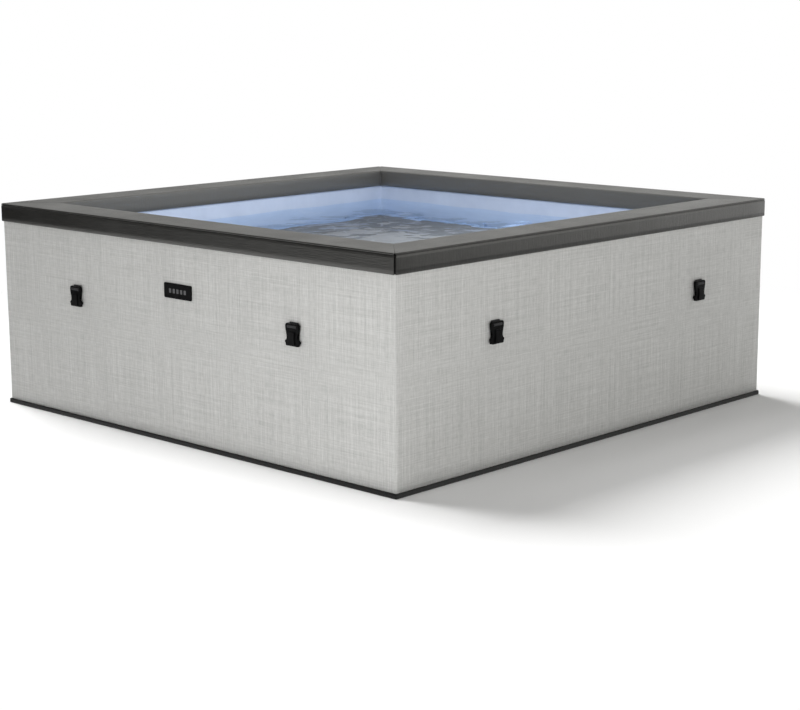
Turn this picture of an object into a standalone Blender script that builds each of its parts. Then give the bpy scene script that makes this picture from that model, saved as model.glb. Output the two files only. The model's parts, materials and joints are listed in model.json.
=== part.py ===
"""A square hot tub with rigid foam walls and its heating, filter and air equipment, in metres.

The origin is the middle of the underside, +Z is up and the front, with the badge, faces -Y.
Each side is drawn as if it were the front one and hangs on an empty that turns it into place:
there X runs along the side, -Y points out of it, and "reach" is a distance from the middle.
"""

import math

import bmesh
import bpy
from mathutils import Matrix, Vector

GAP = 0.0003  # between pieces that touch
SIDES = {"front": 0, "right": 90, "back": 180, "left": 270}

# Layers of the tub, as half sizes from the middle outwards
RIM_INNER = 0.780
RIM_OUTER = 0.925
RIM_WALL = 0.005
LINER_THICK = 0.002
LINER_INNER = RIM_INNER + RIM_WALL + GAP
CORE_INNER = LINER_INNER + LINER_THICK + GAP
CLADDING_OUTER = 0.920
CLADDING_THICK = 0.002
CLADDING_RADIUS = 0.006
CORE_OUTER = CLADDING_OUTER - CLADDING_THICK - GAP
CORE_CORNER = 0.005  # how far the cores stay back from the rounded corners

# Heights
MAT_TOP = 0.0144
PAD_TOP = 0.0597
FLOOR_LOW = PAD_TOP + GAP
FLOOR_TOP = FLOOR_LOW + LINER_THICK
TOP = 0.690
RIM_LOW = 0.630
RIM_TOP_THICK = 0.012
RIM_RADIUS = 0.006
CORE_TOP = TOP - RIM_TOP_THICK - GAP
SKIN_TOP = 0.664

# Fittings on the outside
BADGE = (0.130, 0.0475, 0.004)  # width, height, thickness
BADGE_LOW = 0.462
# Where the two strap sockets hang along each side, seen from outside
BUCKLES_AT = {
    "front": (-0.510, 0.520), "right": (-0.503, 0.530), "back": (-0.510, 0.520), "left": (-0.503, 0.530),
}
BUCKLE_PIVOT = (0.0025, 0.4525)  # out from the cladding, height
BUCKLE_BACK, BUCKLE_FRONT, BUCKLE_RIDGE = 0.0045, 0.0130, 0.0170
WEBBING = 0.038
WEBBING_PLY = 0.0012

# Equipment bay in the back wall
BAY = (0.300, 0.100, 0.560)  # half width, bottom, top
BAY_BACK = 0.7993
BAY_SHELL = 0.004
BAY_HOLLOW = BAY_BACK + BAY_SHELL
FLANGE = (0.330, 0.082, 0.578)
FLANGE_HOLE = (0.288, 0.140, 0.548)
FLANGE_FACE = 0.9235
DOOR = (0.310, 0.132, 0.570)
DOOR_BACK = FLANGE_FACE + GAP
DOOR_FACE = DOOR_BACK + 0.004
HINGE = (-0.3145, 0.929)  # along the side, reach
HINGE_HEIGHTS = (0.20, 0.50)
LATCH = (0.274, 0.33)

# Water and air fittings through the inner wall: along the side, height, pipe radius
FILTER = (0.030, 0.165, 0.016)
RETURN = (0.030, 0.300, 0.016)
AIR = (0.235, 0.135, 0.014)
PIPE_WALL = 0.0035
MACHINE_REACH = 0.860
HOSE_STUB = 0.004
PUMP_LEFT = -0.255
PUMP_OUTLET = 0.158  # from the pump's left end
BLOWER = (0.170, 0.200)
BLOWER_OUTLET_REACH = 0.870
DRAIN = (-0.60, 0.100)
DRAIN_PIPE = 0.018

# Control panel above the door
PANEL = (0.110, 0.585, 0.625)
PANEL_FACE = 0.9303
BUTTONS = {"power": -0.010, "heat": 0.015, "bubbles": 0.040, "warmer": 0.065, "cooler": 0.090}
BUTTON_HEIGHT = 0.605
BUTTON_RADIUS = 0.007
BUTTON_SEAT = 0.9245

BLACK = (0.012, 0.012, 0.013)
DARK_GREY = (0.045, 0.045, 0.047)
CLADDING_GREY = (0.50, 0.50, 0.49)
FOAM_WHITE = (0.80, 0.80, 0.78)
LINER_BLUE = (0.33, 0.45, 0.66)
LINER_GREY = (0.24, 0.24, 0.25)
STEEL = (0.55, 0.55, 0.56)
PALE_PLASTIC = (0.62, 0.64, 0.66)

# Frames that stand a flat outline up: seen from the front, and as a section across a side
FACE_ON = Matrix(((1, 0, 0), (0, 0, -1), (0, 1, 0))).to_4x4()
SECTION = Matrix(((0, 0, -1), (-1, 0, 0), (0, 1, 0))).to_4x4()
ALONG = Matrix(((0, 0, 1), (0, 1, 0), (-1, 0, 0))).to_4x4()
OUTWARD = FACE_ON
INWARD = Matrix(((1, 0, 0), (0, 0, 1), (0, -1, 0))).to_4x4()
UPRIGHT = Matrix.Identity(4)


def clear_scene():
    for obj in list(bpy.data.objects):
        bpy.data.objects.remove(obj, do_unlink=True)


def new_collection(name):
    found = bpy.data.collections.new(name)
    bpy.context.scene.collection.children.link(found)
    return found


def new_side(name, degrees):
    empty = bpy.data.objects.new(f"side_{name}", None)
    empty.rotation_euler = (0, 0, math.radians(degrees))
    PARTS.objects.link(empty)
    return empty


clear_scene()
PARTS = new_collection("hot_tub")
CUTTERS = new_collection("cutters")
CUTTERS.hide_render = True
SIDE = {name: new_side(name, degrees) for name, degrees in SIDES.items()}


def place(obj, matrix, side):
    """Puts an object in the parts collection, standing as matrix says in the side's own frame."""
    for old in list(obj.users_collection):
        old.objects.unlink(obj)
    PARTS.objects.link(obj)
    if side:
        obj.parent = SIDE[side]
    obj.matrix_local = matrix
    return obj


def finish(obj, colour, roughness=0.5, metallic=0.0):
    skin = bpy.data.materials.new(obj.name)
    skin.use_nodes = True
    shader = skin.node_tree.nodes["Principled BSDF"]
    shader.inputs["Base Color"].default_value = (*colour, 1.0)
    shader.inputs["Roughness"].default_value = roughness
    shader.inputs["Metallic"].default_value = metallic
    obj.data.materials.clear()
    obj.data.materials.append(skin)
    return obj


def box(name, x, y, z, side=None, origin=None):
    """A block between the given (low, high) pairs; origin is the point it turns about."""
    spans = (x, y, z)
    middle = Vector([(low + high) / 2 for low, high in spans])
    origin = Vector(origin) if origin else middle
    bpy.ops.mesh.primitive_cube_add(size=1)
    obj = bpy.context.object
    obj.name = name
    scale = Matrix.Diagonal([high - low for low, high in spans] + [1])
    obj.data.transform(Matrix.Translation(middle - origin) @ scale)
    return place(obj, Matrix.Translation(origin), side)


def reach(low, high):
    """The Y span of what lies between two distances from the middle."""
    return (-high, -low)


def rod(name, radius, length, start, frame, side=None, sides=24):
    """A cylinder that runs from start along its frame's own Z."""
    bpy.ops.mesh.primitive_cylinder_add(vertices=sides, radius=radius, depth=length)
    obj = bpy.context.object
    obj.name = name
    obj.data.transform(Matrix.Translation((0, 0, length / 2)))
    return place(obj, Matrix.Translation(start) @ frame, side)


def turned(name, profile, start, frame, side=None, ring=False, steps=24):
    """Turns (radius, height) points about the frame's Z; a ring's profile closes on itself."""
    mesh = bpy.data.meshes.new(name)
    count = len(profile)
    edges = [(i, (i + 1) % count) for i in range(count if ring else count - 1)]
    mesh.from_pydata([(r, 0, h) for r, h in profile], edges, [])
    obj = bpy.data.objects.new(name, mesh)
    screw = obj.modifiers.new("turn", "SCREW")
    screw.steps = screw.render_steps = steps
    screw.use_merge_vertices = True
    screw.merge_threshold = 0.00001
    screw.use_smooth_shade = False
    return place(obj, Matrix.Translation(start) @ frame, side)


def flat_piece(name, outlines, thickness, start, frame, side=None):
    """A plate of closed outlines, the first one outside and the others holes, as a mesh."""
    curve = bpy.data.curves.new(name, "CURVE")
    curve.dimensions = "2D"
    curve.fill_mode = "BOTH"
    curve.extrude = thickness / 2
    for outline in outlines:
        spline = curve.splines.new("POLY")
        spline.points.add(len(outline) - 1)
        for point, (x, y) in zip(spline.points, outline):
            point.co = (x, y, 0, 1)
        spline.use_cyclic_u = True
    drawn = bpy.data.objects.new(name + "_outline", curve)
    PARTS.objects.link(drawn)
    evaluated = drawn.evaluated_get(bpy.context.evaluated_depsgraph_get())
    mesh = bpy.data.meshes.new_from_object(evaluated)
    bpy.data.objects.remove(drawn, do_unlink=True)
    work = bmesh.new()
    work.from_mesh(mesh)
    bmesh.ops.remove_doubles(work, verts=work.verts, dist=0.00001)
    bmesh.ops.recalc_face_normals(work, faces=work.faces)
    work.to_mesh(mesh)
    work.free()
    obj = bpy.data.objects.new(name, mesh)
    return place(obj, Matrix.Translation(start) @ frame, side)


def change(obj, other, operation, solver="EXACT"):
    """A Boolean with another object, which moves to the cutters."""
    modifier = obj.modifiers.new(other.name, "BOOLEAN")
    modifier.operation = operation
    modifier.solver = solver
    modifier.object = other
    PARTS.objects.unlink(other)
    CUTTERS.objects.link(other)
    other.hide_render = True
    other.display_type = "WIRE"


def cut(obj, *others):
    for other in others:
        change(obj, other, "DIFFERENCE")
    return obj


def join(obj, *others):
    for other in others:
        change(obj, other, "UNION")
    return obj


def soften(obj, width, segments=2):
    bevel = obj.modifiers.new("soft_edges", "BEVEL")
    bevel.width = width
    bevel.segments = segments
    bevel.limit_method = "ANGLE"
    return obj


def arc(centre, radius, start, end, steps):
    """Points on a round stretch, angles in degrees."""
    angles = [math.radians(start + (end - start) * i / steps) for i in range(steps + 1)]
    return [(centre[0] + radius * math.cos(a), centre[1] + radius * math.sin(a)) for a in angles]


def rounded_square(half, radius, steps=3):
    inner = half - radius
    points = []
    for turn in range(4):
        corner = [(inner, inner), (-inner, inner), (-inner, -inner), (inner, -inner)][turn]
        points += arc(corner, radius, 90 * turn, 90 * turn + 90, steps)
    return points


def square(half):
    return [(-half, -half), (half, -half), (half, half), (-half, half)]


def rectangle(x, y):
    return [(x[0], y[0]), (x[1], y[0]), (x[1], y[1]), (x[0], y[1])]


def mitred(name, section, side, corner=0.0):
    """A length with (reach, height) section along one side, mitred into its neighbours.

    corner is how much shorter its outermost edge is than a true mitre.
    """
    furthest = max(r for r, _ in section)
    obj = flat_piece(name, [section], 1.0, (0, 0, 0), SECTION, side)
    for vertex in obj.data.vertices:
        end = vertex.co.x - GAP * 0.75
        if vertex.co.x > furthest - 0.0001:
            end -= corner
        vertex.co.z = math.copysign(end, vertex.co.z)
    return obj


def smooth_path(points, spacing):
    """A Catmull-Rom curve through the points, sampled about every spacing."""
    knots = [Vector(p) for p in points]
    knots = [2 * knots[0] - knots[1], *knots, 2 * knots[-1] - knots[-2]]
    path = [knots[1]]
    for a, b, c, d in zip(knots, knots[1:], knots[2:], knots[3:]):
        steps = max(1, round((c - b).length / spacing))
        for i in range(1, steps + 1):
            t = i / steps
            path.append(
                0.5
                * (2 * b + (c - a) * t + (2 * a - 5 * b + 4 * c - d) * t**2
                   + (3 * b - a - 3 * c + d) * t**3)
            )
    return path


def hose(name, radius, points):
    """A hose in the equipment bay through (along, reach, height) points, straight at its ends."""
    knots = [Vector((u, -r, z)) for u, r, z in points]
    first = knots[0] + (knots[1] - knots[0]).normalized() * HOSE_STUB
    last = knots[-1] + (knots[-2] - knots[-1]).normalized() * HOSE_STUB
    path = smooth_path([knots[0], first, *knots[1:-1], last, knots[-1]], 2 * radius)
    curve = bpy.data.curves.new(name, "CURVE")
    curve.dimensions = "3D"
    curve.bevel_depth = radius
    curve.bevel_resolution = 2
    curve.use_fill_caps = True
    spline = curve.splines.new("POLY")
    spline.points.add(len(path) - 1)
    for point, place_at in zip(spline.points, path):
        point.co = (*place_at, 1)
    obj = bpy.data.objects.new(name, curve)
    return place(obj, Matrix.Identity(4), "back")


def bladed_wheel(name, hub, tip, blades, sweep, start, frame, width):
    """A hub with swept blades, drawn flat and thickened."""
    outline = []
    for blade in range(blades):
        middle = 360 * blade / blades
        for radius, turn in ((hub, -9), (tip, sweep - 3), (tip, sweep + 3), (hub, 9)):
            angle = math.radians(middle + turn)
            outline.append((radius * math.cos(angle), radius * math.sin(angle)))
    obj = flat_piece(name, [outline], width, start, frame, "back")
    obj.data.transform(Matrix.Translation((0, 0, width / 2)))
    return obj


def floor_and_walls():
    mat = box("ground_mat", (-RIM_OUTER, RIM_OUTER), (-RIM_OUTER, RIM_OUTER), (0, MAT_TOP))
    finish(mat, BLACK, 0.8)
    pad_half = CORE_INNER - GAP
    pad = box("floor_pad", (-pad_half, pad_half), (-pad_half, pad_half), (MAT_TOP + GAP, PAD_TOP))
    finish(pad, FOAM_WHITE, 0.9)
    half = LINER_INNER - GAP
    sheet = box("liner_floor", (-half, half), (-half, half), (FLOOR_LOW, FLOOR_TOP))
    finish(sheet, LINER_GREY, 0.4)

    section = rectangle((CORE_INNER, CORE_OUTER), (MAT_TOP + GAP, CORE_TOP))
    for side in SIDES:
        core = finish(mitred(f"wall_core_{side}", section, side, CORE_CORNER), FOAM_WHITE, 0.9)
        if side == "back":
            cut(core, bay_space("core_pocket", GAP), *pipe_holes("core"))
        if side == "left":
            cut(core, drain_hole("core_drain_hole"))

    outer = rounded_square(CLADDING_OUTER, CLADDING_RADIUS)
    inner = rounded_square(CLADDING_OUTER - CLADDING_THICK, CLADDING_RADIUS - CLADDING_THICK)
    low, high = MAT_TOP + GAP, SKIN_TOP
    skin = flat_piece("outer_cladding", [outer, inner], high - low, (0, 0, (low + high) / 2), UPRIGHT)
    cut(skin, bay_space("cladding_window", GAP), drain_hole("cladding_drain_hole"))
    finish(skin, CLADDING_GREY, 0.7)

    outlines = [square(LINER_INNER + LINER_THICK), square(LINER_INNER)]
    low = FLOOR_LOW
    liner = flat_piece("liner_walls", outlines, high - low, (0, 0, (low + high) / 2), UPRIGHT)
    cut(liner, *pipe_holes("liner"), drain_hole("liner_drain_hole"))
    finish(liner, LINER_BLUE, 0.35)


def bay_space(name, clearance):
    half, low, high = BAY
    x = (-half - clearance, half + clearance)
    return box(name, x, reach(BAY_BACK - clearance, 0.95), (low - clearance, high + clearance), "back")


def pipe_holes(owner):
    holes = []
    for pipe, (along, height, radius) in (("filter", FILTER), ("return", RETURN), ("air", AIR)):
        start = (along, -0.75, height)
        name = f"{owner}_{pipe}_hole"
        holes.append(rod(name, radius + GAP, 0.058, start, OUTWARD, "back"))
    return holes


def drain_hole(name):
    along, height = DRAIN
    return rod(name, DRAIN_PIPE + GAP, 0.20, (along, -0.75, height), OUTWARD, "left")


def rims():
    inner, outer, wall = RIM_INNER, RIM_OUTER, RIM_WALL
    round_at = TOP - RIM_RADIUS
    under = TOP - RIM_TOP_THICK
    section = [(outer, RIM_LOW)]
    section += arc((outer - RIM_RADIUS, round_at), RIM_RADIUS, 0, 90, 3)
    section += arc((inner + RIM_RADIUS, round_at), RIM_RADIUS, 90, 180, 3)
    section += [(inner, RIM_LOW), (inner + wall, RIM_LOW), (inner + wall, under)]
    section += [(CLADDING_OUTER + GAP, under), (CLADDING_OUTER + GAP, RIM_LOW)]
    for side in SIDES:
        finish(mitred(f"rim_{side}", section, side), DARK_GREY, 0.45)


def badge():
    width, height, thick = BADGE
    y = reach(CLADDING_OUTER + GAP, CLADDING_OUTER + GAP + thick)
    plate = box("front_badge", (-width / 2, width / 2), y, (BADGE_LOW, BADGE_LOW + height), "front")
    finish(soften(plate, 0.0012), BLACK, 0.35)


def buckle_outline():
    """Half of a socket's outline as (half width, height from its pivot), mirrored into the whole."""
    half = arc((0.0200, -0.0100), 0.0070, 90, 0, 4)
    half += [(0.0270, -0.0185), (0.0248, -0.0265), (0.0226, -0.0345), (0.0218, -0.0430)]
    half += [(0.0226, -0.0495), (0.0256, -0.0525), (0.0284, -0.0540), (0.0292, -0.0570)]
    half += [(0.0284, -0.0600), (0.0262, -0.0620), (0.0262, -0.0665), (0.0240, -0.0690)]
    return half + [(-x, y) for x, y in reversed(half)]


def buckle(side, end, along):
    """One strap socket, hanging from its webbing, with its mouth down."""
    out, height = BUCKLE_PIVOT
    pivot = (along, -CLADDING_OUTER - out, height)
    name = f"buckle_{side}_{end}"

    slots = [(-0.0167, -0.0143), (-0.0097, -0.0075)]
    slot_half = 0.0195
    outlines = [buckle_outline()]
    outlines += [rectangle((-slot_half, slot_half), span) for span in slots]
    thick = BUCKLE_FRONT - BUCKLE_BACK
    socket = flat_piece(name, outlines, thick, pivot, FACE_ON, side)
    socket.data.transform(Matrix.Translation((0, 0, (BUCKLE_FRONT + BUCKLE_BACK) / 2 - out)))

    def block(label, x, w, z):
        x = (along + x[0], along + x[1])
        y = reach(CLADDING_OUTER + w[0], CLADDING_OUTER + w[1])
        return box(f"{name}_{label}", x, y, (height + z[0], height + z[1]), side)

    ridge = block("ridge", (-0.0120, 0.0120), (0.0070, BUCKLE_RIDGE), (-0.0620, -0.0265))
    change(socket, soften(ridge, 0.0025), "UNION", "MANIFOLD")
    inside = (0.0060, 0.0115)
    cut(socket, block("mouth", (-0.0150, 0.0150), inside, (-0.0755, -0.0285)))
    cut(socket, block("windows", (-0.0300, 0.0300), inside, (-0.0445, -0.0335)))
    finish(socket, BLACK, 0.35)

    webbing(f"webbing_{side}_{end}", pivot, side)


def webbing(name, pivot, side):
    """The tape that loops through a socket and folds where it enters the cladding."""
    out = BUCKLE_PIVOT[0]
    back, front = BUCKLE_BACK - GAP, BUCKLE_FRONT + GAP
    bar = (-0.0146, -0.0094)
    ply = WEBBING_PLY
    fold = (-0.0010, 0.0002)
    outer = [(back - ply, bar[0] - ply), (front + ply, bar[0] - ply), (front + ply, bar[1] + ply)]
    outer += [(back, bar[1] + ply), (back, fold[1]), (GAP, fold[1]), (GAP, fold[0])]
    outer += [(back - ply, fold[0])]
    hole = rectangle((back, front), bar)
    outlines = [[(w - out, z) for w, z in points] for points in (outer, hole)]
    finish(flat_piece(name, outlines, WEBBING, pivot, SECTION, side), DARK_GREY, 0.8)


def buckles():
    for side, places in BUCKLES_AT.items():
        for end, along in zip(("left", "right"), places):
            buckle(side, end, along)


def knuckles(name, spans, radius, leaf):
    """Hinge barrels joined to a leaf that runs along the side to leaf, as one list of blocks."""
    along, out = HINGE
    made = []
    for low, high in spans:
        start = (along, -out, low)
        made.append(rod(f"{name}_barrel", radius, high - low, start, UPRIGHT, "back", sides=16))
        x = (min(along, leaf[0]), max(along, leaf[0]))
        made.append(box(f"{name}_leaf", x, reach(leaf[1], out), (low, high), "back"))
    return made


def bay_housing():
    half, low, high = BAY
    shell = BAY_SHELL
    y = reach(BAY_BACK, CLADDING_OUTER + GAP * 2)
    housing = box("unit_housing", (-half, half), y, (low, high), "back")
    f_half, f_low, f_high = FLANGE
    flange_y = reach(CLADDING_OUTER + GAP, FLANGE_FACE)
    join(housing, box("housing_flange", (-f_half, f_half), flange_y, (f_low, f_high), "back"))
    hollow = (-half + shell, half - shell)
    y = reach(BAY_HOLLOW, CLADDING_OUTER + GAP)
    cut(housing, box("housing_hollow", hollow, y, (low + shell, high - shell), "back"))
    o_half, o_low, o_high = FLANGE_HOLE
    cut(housing, box("housing_mouth", (-o_half, o_half), reach(0.91, 0.93), (o_low, o_high), "back"))
    cut(housing, *pipe_holes("housing"))
    gland_at, gland_height = 0.22, 0.1145
    start = (gland_at, -0.91, gland_height)
    cut(housing, rod("housing_gland_hole", 0.0063, 0.02, start, OUTWARD, "back", sides=16))

    spans = []
    for middle in HINGE_HEIGHTS:
        spans += [(middle - 0.020, middle - 0.0083), (middle + 0.0083, middle + 0.020)]
    join(housing, *knuckles("housing_hinge", spans, 0.004, (-0.3225, FLANGE_FACE - 0.001)))
    for middle in HINGE_HEIGHTS:
        start = (HINGE[0], -HINGE[1], middle - 0.022)
        cut(housing, rod("housing_pin_hole", 0.0018, 0.044, start, UPRIGHT, "back", sides=16))
    finish(housing, DARK_GREY, 0.5)

    profile = [(0.0065, 0.0130), (0.0090, 0.0105), (0.0090, 0.0005), (0.0060, 0.0005)]
    profile += [(0.0060, -0.0100), (0.0035, -0.0100), (0.0035, 0.0130)]
    start = (gland_at, -FLANGE_FACE + GAP - 0.0005, gland_height)
    gland = turned("power_gland", profile, start, OUTWARD, "back", ring=True, steps=16)
    finish(gland, BLACK, 0.5)


def door():
    half, low, high = DOOR
    origin = (HINGE[0], -HINGE[1], (low + high) / 2)
    y = reach(DOOR_BACK, DOOR_FACE)
    panel = box("service_door", (-half, half), y, (low, high), "back", origin)
    spans = [(middle - 0.008, middle + 0.008) for middle in HINGE_HEIGHTS]
    join(panel, *knuckles("door_hinge", spans, 0.004, (-0.305, DOOR_BACK + 0.001)))
    for middle in HINGE_HEIGHTS:
        start = (HINGE[0], -HINGE[1], middle - 0.017)
        join(panel, rod("door_pin", 0.0015, 0.034, start, UPRIGHT, "back", sides=12))
    for row in range(7):
        z = BLOWER[1] - 0.042 + 0.014 * row
        span = (BLOWER[0] - 0.055, BLOWER[0] + 0.055)
        cut(panel, box("door_louvre", span, reach(0.92, 0.94), (z - 0.003, z + 0.003), "back"))
    along, height = LATCH
    cut(panel, rod("door_latch_hole", 0.0045, 0.03, (along, -0.91, height), OUTWARD, "back", sides=16))
    finish(panel, DARK_GREY, 0.45)

    start = (along, -DOOR_FACE - GAP, height)
    profile = [(0, 0.0050), (0.0125, 0.0050), (0.0140, 0.0035), (0.0140, 0)]
    profile += [(0.0040, 0), (0.0040, -0.0115), (0, -0.0115)]
    latch = turned("door_latch", profile, start, OUTWARD, "back", steps=16)
    grip_y = reach(DOOR_FACE + 0.0045, DOOR_FACE + 0.0083)
    grip = (along - 0.0025, along + 0.0025)
    join(latch, box("latch_grip", grip, grip_y, (height - 0.011, height + 0.011), "back"))
    tongue = (along - 0.005, along + 0.005)
    tongue_y = reach(0.9165, 0.9198)
    join(latch, box("latch_tongue", tongue, tongue_y, (height - 0.020, height + 0.005), "back"))
    finish(latch, BLACK, 0.4)


def control_panel():
    half, low, high = PANEL
    y = reach(CLADDING_OUTER + GAP, PANEL_FACE)
    panel = soften(box("control_panel", (-half, half), y, (low, high), "back"), 0.0015)
    lens_x, lens_z, lens_back = (-0.102, -0.034), (0.592, 0.618), 0.9283
    cut(panel, box("lens_seat", lens_x, reach(lens_back, 0.94), lens_z, "back"))
    for name, along in BUTTONS.items():
        start = (along, -BUTTON_SEAT, BUTTON_HEIGHT)
        radius = BUTTON_RADIUS + 0.0005
        cut(panel, rod(f"{name}_button_seat", radius, 0.02, start, OUTWARD, "back"))
    finish(panel, BLACK, 0.3)

    x = (lens_x[0] + GAP, lens_x[1] - GAP)
    z = (lens_z[0] + GAP, lens_z[1] - GAP)
    lens = box("display_lens", x, reach(lens_back + GAP, PANEL_FACE), z, "back")
    finish(lens, (0.02, 0.03, 0.04), 0.08)

    r = BUTTON_RADIUS
    profile = [(0, 0.0056), (r - 0.0015, 0.0056), (r, 0.0046), (r, 0), (0, 0)]
    for name, along in BUTTONS.items():
        start = (along, -BUTTON_SEAT - 0.0017, BUTTON_HEIGHT)
        finish(turned(f"{name}_button", profile, start, OUTWARD, "back"), PALE_PLASTIC, 0.4)


def pump():
    height = FILTER[1]
    start = (PUMP_LEFT, -MACHINE_REACH, height)
    profile = [(0, 0.116), (0.0055, 0.116), (0.0055, 0.136), (0.042, 0.136), (0.042, 0.180)]
    profile += [(0.050, 0.180), (0.050, 0.130), (0.042, 0.130), (0.042, 0.010), (0.036, 0), (0, 0)]
    body = turned("circulation_pump", profile, start, ALONG, "back")
    outlet = (PUMP_LEFT + PUMP_OUTLET, -MACHINE_REACH, height + 0.045)
    join(body, rod("pump_outlet", FILTER[2], 0.025, outlet, UPRIGHT, "back"))
    bore = (outlet[0], outlet[1], height + 0.032)
    cut(body, rod("pump_outlet_bore", FILTER[2] - PIPE_WALL, 0.05, bore, UPRIGHT, "back", sides=16))
    foot = (PUMP_LEFT + 0.035, PUMP_LEFT + 0.105)
    z = (BAY[1] + BAY_SHELL + GAP, height - 0.030)
    reach_y = reach(MACHINE_REACH - 0.02, MACHINE_REACH + 0.02)
    join(body, box("pump_foot", foot, reach_y, z, "back"))
    finish(body, BLACK, 0.5)

    pipe, bore = FILTER[2], FILTER[2] - PIPE_WALL
    profile = [(pipe, 0.205), (pipe, 0.1863), (0.050, 0.1863), (0.050, 0.1803)]
    profile += [(bore, 0.1803), (bore, 0.205)]
    finish(turned("pump_cover", profile, start, ALONG, "back", ring=True), DARK_GREY, 0.45)

    wheel_at = (PUMP_LEFT + 0.142, -MACHINE_REACH, height)
    wheel = bladed_wheel("pump_impeller", 0.012, 0.036, 6, -28, wheel_at, ALONG, 0.024)
    shaft_at = (PUMP_LEFT + 0.119, -MACHINE_REACH, height)
    join(wheel, rod("impeller_shaft", 0.005, 0.030, shaft_at, ALONG, "back", sides=16))
    finish(wheel, PALE_PLASTIC, 0.4)


def heater():
    along = PUMP_LEFT + PUMP_OUTLET
    low, pipe = 0.260, RETURN[2]
    bore = pipe - PIPE_WALL
    start = (along, -MACHINE_REACH, low)
    profile = [(pipe, 0.200), (pipe, 0.180), (0.028, 0.172), (0.028, 0.028), (pipe, 0.020), (pipe, 0)]
    profile += [(bore, 0), (bore, 0.020), (0.0255, 0.030), (0.0255, 0.170), (bore, 0.180)]
    profile += [(bore, 0.200)]
    tube = turned("heater_tube", profile, start, UPRIGHT, "back", ring=True)
    x = (along - 0.010, along + 0.010)
    y = reach(BAY_HOLLOW + GAP, MACHINE_REACH - 0.0265)
    join(tube, box("heater_saddle", x, y, (low + 0.08, low + 0.10), "back"))
    finish(tube, STEEL, 0.25, 1.0)


def blower():
    along, height = BLOWER
    start = (along, -BAY_HOLLOW - GAP, height)
    mouth = 0.1014
    profile = [(0, 0.035), (0.0045, 0.035), (0.0045, 0.050), (0.048, 0.050), (0.048, mouth)]
    profile += [(0.055, mouth), (0.055, 0.004), (0.051, 0), (0, 0)]
    body = turned("air_blower", profile, start, OUTWARD, "back")
    outlet = (along, -BLOWER_OUTLET_REACH, height + 0.050)
    join(body, rod("blower_outlet", AIR[2], 0.035, outlet, UPRIGHT, "back"))
    bore = (along, -BLOWER_OUTLET_REACH, height + 0.040)
    cut(body, rod("blower_outlet_bore", AIR[2] - PIPE_WALL, 0.06, bore, UPRIGHT, "back", sides=16))
    finish(body, BLACK, 0.5)

    wheel_at = (along, start[1] - 0.056, height)
    wheel = bladed_wheel("blower_fan", 0.014, 0.044, 8, 20, wheel_at, OUTWARD, 0.034)
    shaft_at = (along, start[1] - 0.037, height)
    join(wheel, rod("fan_shaft", 0.004, 0.030, shaft_at, OUTWARD, "back", sides=16))
    finish(wheel, PALE_PLASTIC, 0.4)


def control_box():
    y = reach(BAY_HOLLOW + GAP, BAY_HOLLOW + GAP + 0.020)
    finish(soften(box("control_box", (0.060, 0.148), y, (0.345, 0.535), "back"), 0.002), BLACK, 0.5)


def hoses():
    reach_at, pump_outlet = MACHINE_REACH, PUMP_LEFT + PUMP_OUTLET
    pipe_end = {"filter": 0.8203, "return": 0.8303, "air": 0.8203}
    pump_inlet = PUMP_LEFT + 0.205 + GAP
    along, height, radius = FILTER
    made = [hose("suction_hose", radius, [
        (pump_inlet, reach_at, height), (pump_inlet + 0.030, reach_at, height),
        (along - 0.016, reach_at - 0.001, height), (along - 0.003, reach_at - 0.011, height),
        (along, reach_at - 0.024, height), (along, pipe_end["filter"], height)])]

    outlet_top = height + 0.070 + GAP
    made.append(hose("heater_hose", radius, [
        (pump_outlet, reach_at, outlet_top), (pump_outlet, reach_at, 0.260 - GAP)]))

    along, height, radius = RETURN
    made.append(hose("return_hose", radius, [
        (pump_outlet, reach_at, 0.460 + GAP), (pump_outlet, reach_at, 0.480),
        (pump_outlet + 0.018, reach_at, 0.510), (pump_outlet + 0.055, reach_at, 0.525),
        (along - 0.035, reach_at + 0.005, 0.512), (along - 0.007, reach_at + 0.015, 0.470),
        (along, reach_at + 0.024, 0.410), (along, reach_at + 0.026, 0.350),
        (along, reach_at + 0.016, 0.315), (along, reach_at - 0.006, height),
        (along, pipe_end["return"], height)]))

    along, height, radius = AIR
    start = BLOWER[0]
    out = BLOWER_OUTLET_REACH
    made.append(hose("air_hose", radius, [
        (start, out, BLOWER[1] + 0.085 + GAP), (start, out, 0.330), (start + 0.002, out, 0.420),
        (start + 0.014, out, 0.480), (start + 0.040, out, 0.508), (along + 0.003, out - 0.002, 0.485),
        (along + 0.010, out - 0.004, 0.400), (along + 0.010, out - 0.004, 0.300),
        (along + 0.008, out - 0.006, 0.200), (along + 0.003, out - 0.012, 0.158),
        (along, out - 0.026, height), (along, pipe_end["air"], height)]))
    for tube in made:
        finish(tube, DARK_GREY, 0.6)


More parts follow.
